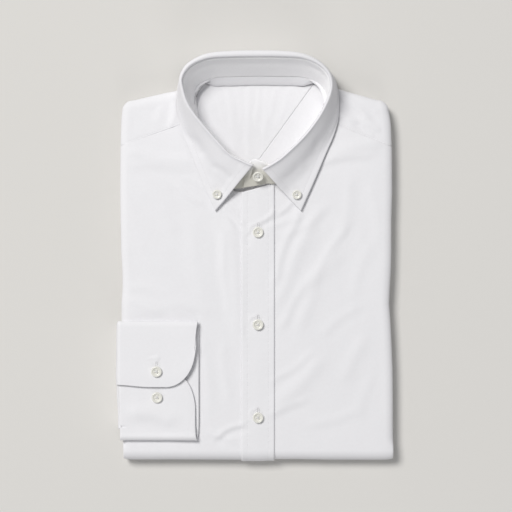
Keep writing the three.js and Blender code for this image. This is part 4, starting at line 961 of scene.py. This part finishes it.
# Under end, back of the cuff with its two folds, upper end: for the ends the way from fold to
# end, for the back y; then height of the cloth's middle, and x of the free edge.
CUFF_UNDER = [(0, 23.6, -57.6), (0.4, 23.9, -57.6), (0.8, 24.5, -57.4), (1, 25.1, -57.0)]
CUFF_BACK = [
    (-173.2, 25.7, -56.4), (-175.9, 23.4, -55.6), (-173.4, 21.2, -54.8), (-166, 21.1, -54.2),
    (-120, 21.1, -54.1), (-73, 21.1, -54.1), (-65.6, 21.2, -54.2), (-63.2, 23.3, -54.8),
    (-65.6, 25.4, -55.4)]
CUFF_OVER = [(0, 25.9, -56.2), (0.3, 26.1, -56.6), (0.6, 26.4, -56.8), (0.85, 26.9, -57.0), (1, 26.9, -57.2)]
CUFF_ROLL = 19.2  # height that the seam edge rolls down to
CUFF_SPANS = len(CUFF_UNDER) + len(CUFF_BACK) + len(CUFF_OVER) - 1
UNDER_SHARE = (len(CUFF_UNDER) - 1) / CUFF_SPANS  # shares of the knots where the two ends join the back
OVER_SHARE = (len(CUFF_UNDER) + len(CUFF_BACK)) / CUFF_SPANS


def cuff_middle():
    """Middle of the cloth: stations down over the side on an ellipse, then to the free edge,
    closer together towards it; at each a smooth curve through the under end, the back and the
    upper end. Both ends draw back round a quarter ellipse at the free edge, which curls up, and
    the upper end sags towards the seam."""
    share = np.sin(math.pi / 2 * np.linspace(0, 1, CUFF_STATIONS))
    share = np.concatenate([np.zeros(CUFF_ROLL_STATIONS), share])
    over_side = np.linspace(math.radians(85), 0.05, CUFF_ROLL_STATIONS)
    over_side = np.concatenate([over_side, np.zeros(CUFF_STATIONS)])
    curl = 1.2 * smooth(CUFF_SEAM + 71 * share, -92, -57)
    knots = []
    for kind, rows in (("under", CUFF_UNDER), ("back", CUFF_BACK), ("over", CUFF_OVER)):
        for first, z, free in rows:
            x = CUFF_SEAM + (free - CUFF_SEAM) * share
            past = np.clip((x - free + CUFF_ACROSS) / CUFF_ACROSS, 0, 1)
            back = CUFF_ALONG * (1 - np.sqrt(1 - past ** 2))
            if kind == "under":
                y = (CUFF_UNDER_END - back) * (1 - first) + CUFF_FOLDS[0] * first
            elif kind == "over":
                sag = 2.2 * smooth(-x, 100, 134)
                y = CUFF_FOLDS[1] * (1 - first) + (CUFF_OVER_END + back + sag) * first
            else:
                y = first + 0 * x
            wide = 0.6 * (z - CUFF_ROLL) * (1 - 0.9 * smooth(-y, 112, 172))
            x = x - wide * np.sin(over_side)
            knots.append(np.stack([x, y, z + curl - (z - CUFF_ROLL) * (1 - np.cos(over_side))], -1))
    at = np.concatenate([np.linspace(0, UNDER_SHARE, 60)[:-1], np.linspace(UNDER_SHARE, OVER_SHARE, 110)[:-1],
                         np.linspace(OVER_SHARE, 1, 70)])
    return smooth_through(np.array(knots), at).transpose(1, 0, 2), at


middle_cloth, cuff_at = cuff_middle()
along_ends = np.linalg.norm(np.diff(middle_cloth, axis=1), axis=2)
along_ends = np.concatenate([np.zeros((len(along_ends), 1)), along_ends.cumsum(1)], 1)
from_end = np.minimum(along_ends, along_ends[:, -1:] - along_ends)
to_free = np.linalg.norm(np.diff(middle_cloth, axis=0), axis=2)
to_free = np.concatenate([to_free[::-1].cumsum(0)[::-1], np.zeros((1, to_free.shape[1]))])
cuff_inset = np.minimum(from_end, to_free)
swell = 2.6 * creases(middle_cloth[..., 0], middle_cloth[..., 1], [
    (-122, -78, -92, -84, 2, 7, 1.0, 0.6), (-116, -96, -100, -90, 1, 6, 0.8, 0.5),
    (-112, -150, -84, -156, 2, 8, 0.7, 0.4), (-84, -74, -66, -92, 2, 6, 0.6, 0.4),
    (-102, -107, -98, -101, 1, 2.4, 0.3, 0.3), (-124, -72, -70, -70, 0, 3, 0.3, 0.6)])
# A pleat of the sleeve shows at the seam near each fold.
for spot in (-79.6, -163.5):
    pleat = np.exp(-((middle_cloth[..., 1] - spot) / 0.7) ** 2) * smooth(-middle_cloth[..., 0], 122.5, 126)
    swell = swell - 1.3 * pleat
# A slight swell between the stitch row and the edge, a groove on the row, and a rounded rim.
relief = (0.06 * np.exp(-((cuff_inset - 2.6) / 2.2) ** 2)
          - 0.08 * np.exp(-((cuff_inset - TOPSTITCH) / 0.7) ** 2)
          - 0.25 * np.exp(-(cuff_inset / 0.7) ** 2))
upper_end = smooth(cuff_at, OVER_SHARE - 1.5 / CUFF_SPANS, OVER_SHARE)[None]
under_end = (1 - smooth(cuff_at, UNDER_SHARE, UNDER_SHARE + 1.5 / CUFF_SPANS))[None]
facing = moved(middle_cloth, CUFF_CLOTH / 2 + upper_end * (swell + relief))
behind = moved(middle_cloth, -CUFF_CLOTH / 2 - under_end * (swell + relief))
cuff = put_cloth("cuff_right_cloth", facing, behind, cotton("cuff_cotton", rumple=0.7))
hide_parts("cuff_right")

# The sleeve's path down the side, as x and height.
SLEEVE = np.array([(-129.9, 20.3), (-130.9, 19.0), (-131.4, 16), (-131.6, 10), (-131.5, 5), (-131.3, 0.4)])


SLEEVE_COLUMNS = 130
SLEEVE_ROWS = 44
SLEEVE_HALF = 1.4


def sleeve_middle():
    """The flattened sleeve's middle: its path down the side carried along y, leaning by soft
    upright folds that grow towards the foot."""
    fall = np.linspace(0, 1, SLEEVE_ROWS)
    down = smooth_through(SLEEVE, fall)
    fall = fall[None]
    y = np.linspace(-67, -166, SLEEVE_COLUMNS)[:, None]
    sway = (0.28 * np.sin(y / 6.1 + 1.2) + 0.22 * np.sin(y / 14 + 3 * fall)) * smooth(fall, 0.1, 0.5)
    tuck = 0.9 * smooth(-y, 130, 166)
    return np.stack([down[None, :, 0] + sway + tuck, y + 0 * fall, down[None, :, 1] + 0 * y], -1)


sleeve_line = sleeve_middle()
thinner = 0.5 * np.exp(-((np.linspace(-1, 1, SLEEVE_COLUMNS)[:, None] ** 2 - 1) / 0.02) ** 2)
sleeve = put_cloth("sleeve_right_cloth", moved(sleeve_line, thinner - SLEEVE_HALF),
                   moved(sleeve_line, SLEEVE_HALF - thinner), front_cotton)
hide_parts("sleeve_right")

# ----------------------------------------------------------------------------------------------
# Buttons: cast cream resin, turned with a rounded rim and a dished middle, four holes, sewn on
# with crossed white thread. Two hold the collar points, one the stand, three close the placket
# and two are on the cuff.
# ----------------------------------------------------------------------------------------------

# Place of the button's foot, its diameter, and how far it tips about x, in degrees.
BUTTONS = {
    "button_front_1": (2.9, 22.7, 22.0, 10.3, 0), "button_front_2": (2.9, -65.8, 22.0, 10.3, 0),
    "button_front_3": (2.9, -154.9, 22.0, 10.3, 0), "button_stand": (2.9, 76.2, 32.2, 10.3, 29),
    "button_point_right": (-36.3, 59.1, 25.3, 8.8, 5), "button_point_left": (40, 58.8, 24.9, 8.8, 5),
    "button_cuff_1": (-94.1, -110.4, 27.7, 10.3, 0), "button_cuff_2": (-93.7, -135.3, 25.0, 10.3, 0),
}
BUTTON_PROFILE = np.array([
    (0, 0), (0.5, 0), (0.7, 0), (0.88, 0.16), (0.97, 0.42), (1, 0.62), (0.98, 0.84), (0.92, 0.96),
    (0.84, 1), (0.74, 0.97), (0.66, 0.84), (0.58, 0.7), (0.4, 0.65), (0.2, 0.63), (0, 0.62)])
BUTTON_STEPS = 72
# Shares of the diameter: height of the rim, height of the dish's middle, and how far each hole
# stands from the middle along x and y.
BUTTON_HEIGHT = 0.24
BUTTON_DISH = 0.62 * BUTTON_HEIGHT
PIT_PLACE = 0.125
THREAD_RADIUS = 0.34
AROUND = np.linspace(0, 2 * math.pi, 8, endpoint=False)[None, :, None]  # eight ways round a tube


def button_grid(diameter):
    """The profile turned about z; four round pits, deep at their middles, stand at the corners of
    a square a quarter of the diameter wide."""
    knots = smooth_through(BUTTON_PROFILE, np.linspace(0, 1, BUTTON_STEPS))
    out = np.maximum(knots[1:-1, 0], 1e-3)[:, None] * diameter / 2
    up = knots[1:-1, 1][:, None] * BUTTON_HEIGHT * diameter
    turn = np.linspace(0, 2 * math.pi, BUTTON_STEPS, endpoint=False)[None]
    x, y = out * np.cos(turn), out * np.sin(turn)
    pit_at = PIT_PLACE * diameter
    away = np.hypot(abs(x) - pit_at, abs(y) - pit_at) / (0.075 * diameter)
    on_top = np.arange(len(up))[:, None] > 46
    pit = 0.7 * (1 - smooth(away, 0.55, 1.1)) * on_top
    return np.stack([x, y, up + 0 * turn - pit], -1)


def tipped(points, name):
    """Points about a button's foot, tipped about x and moved to their place."""
    x, y, z, _, tip = BUTTONS[name]
    c, s = math.cos(math.radians(tip)), math.sin(math.radians(tip))
    turned_points = np.stack([points[..., 0], c * points[..., 1] - s * points[..., 2],
                              s * points[..., 1] + c * points[..., 2]], -1)
    return turned_points + [x, y, z]


def resin():
    """Cast polyester: cream, faintly cloudy as shell, polished with a fine tumbling haze."""
    material, start = new_material("cream_resin")
    place = start.add("ShaderNodeTexCoord").out("Object")
    cloud = noise(start, place, 260.0, 3.0, Distortion=1.5)
    haze = noise(start, place, 3000.0, 1.0)
    close_material(start, haze * 0.000012, {
        "Base Color": tinted(start, (0.86, 0.85, 0.785), 0.12, cloud), "Roughness": haze * 0.12 + 0.2,
        "Coat Weight": 0.3, "Coat Roughness": 0.15})
    return material


cream_resin = resin()
for name, (_, _, _, diameter, _) in BUTTONS.items():
    grid = button_grid(diameter)
    rows, turns = grid.shape[:2]
    at = np.arange(rows * turns).reshape(rows, turns)
    points = np.concatenate([grid.reshape(-1, 3), [(0, 0, 0), (0, 0, BUTTON_DISH * diameter)]])
    faces = ring_quads(at)[:, [0, 3, 2, 1]].tolist()
    faces += np.stack([np.roll(at[0], -1), at[0], np.full(turns, rows * turns)], -1).tolist()
    faces += np.stack([at[-1], np.roll(at[-1], -1), np.full(turns, rows * turns + 1)], -1).tolist()
    button = put_mesh(f"{name}_turned", tipped(points, name), faces, cream_resin)
    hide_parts(name)
    half = PIT_PLACE * diameter
    run = np.linspace(-1, 1, 30)
    at = np.arange(240).reshape(30, 8)
    for k, slope in enumerate((1, -1)):
        high = BUTTON_DISH * diameter + (0.42 + 0.16 * k) * (1 - run ** 4) - 0.9 * run ** 6
        path = np.stack([half * run, slope * half * run, high], -1)
        beside = np.array([-slope, 1, 0]) / math.sqrt(2)
        tube = (path[:, None] + THREAD_RADIUS * np.cos(AROUND) * beside
                + THREAD_RADIUS * np.sin(AROUND) * np.array([0, 0, 1.0])).reshape(-1, 3)
        ends = [at[0].tolist(), at[-1][::-1].tolist()]
        strand = put_mesh(f"{name}_thread_{k + 1}", tipped(tube, name),
                          outward(tube, ring_quads(at)).tolist() + ends, sewing_thread)

# Buttonholes: upright slits in the placket and the cuff's upper end, worked round with close
# stitches of the same white thread. Most of each lies under its button.
HOLES = {"button_front_1": "placket", "button_front_2": "placket", "button_front_3": "placket",
         "button_cuff_1": "cuff"}
HOLE_HALF = 7.4  # half the length
HOLE_ABOVE = 2.0  # from the button's middle to the hole's
HOLE_APART = 0.95  # half the width
BEAD = 0.42  # thickness of the worked edge, half across
HOLE_STEPS = 220
REACH = 1.3  # how far round a spot its cloth's height is looked for


def height_on(carrier, spots):
    """Highest point of a piece within reach of each spot, seen from above."""
    points = np.array([v.co for v in carrier.data.vertices]) * 1000
    low, high = spots.min(0) - REACH, spots.max(0) + REACH
    points = points[((points[:, :2] > low) & (points[:, :2] < high)).all(1)]
    beside = np.linalg.norm(points[None, :, :2] - spots[:, None], axis=2) < REACH
    return np.where(beside, points[None, :, 2], -1).max(1)


for name, carrier in HOLES.items():
    middle_x, middle_y = BUTTONS[name][:2]
    turn = np.linspace(0, 2 * math.pi, HOLE_STEPS, endpoint=False)
    spots = np.stack([middle_x + HOLE_APART * np.sign(np.cos(turn)) * abs(np.cos(turn)) ** 0.35,
                      middle_y + HOLE_ABOVE + HOLE_HALF * np.sin(turn)], -1)
    z = height_on({"placket": placket, "cuff": cuff}[carrier], spots) + 0.02
    ring = np.concatenate([spots, z[:, None]], 1)
    ahead = np.roll(ring, -1, axis=0) - np.roll(ring, 1, axis=0)
    ahead /= np.linalg.norm(ahead, axis=1)[:, None]
    beside = np.stack([ahead[:, 1], -ahead[:, 0], 0 * z], -1)
    bead = (BEAD * (1 + 0.16 * np.sin(55 * turn)))[:, None, None]
    section = np.cos(AROUND) * beside[:, None] + 0.6 * np.sin(AROUND) * np.array([0, 0, 1.0])
    tube = (ring[:, None] + bead * section).reshape(-1, 3)
    at = np.arange(HOLE_STEPS * 8).reshape(HOLE_STEPS, 8)
    wall = ring_quads(np.concatenate([at, at[:1]]))
    hole = put_mesh(name.replace("button", "buttonhole"), tube, outward(tube, wall).tolist(), sewing_thread)
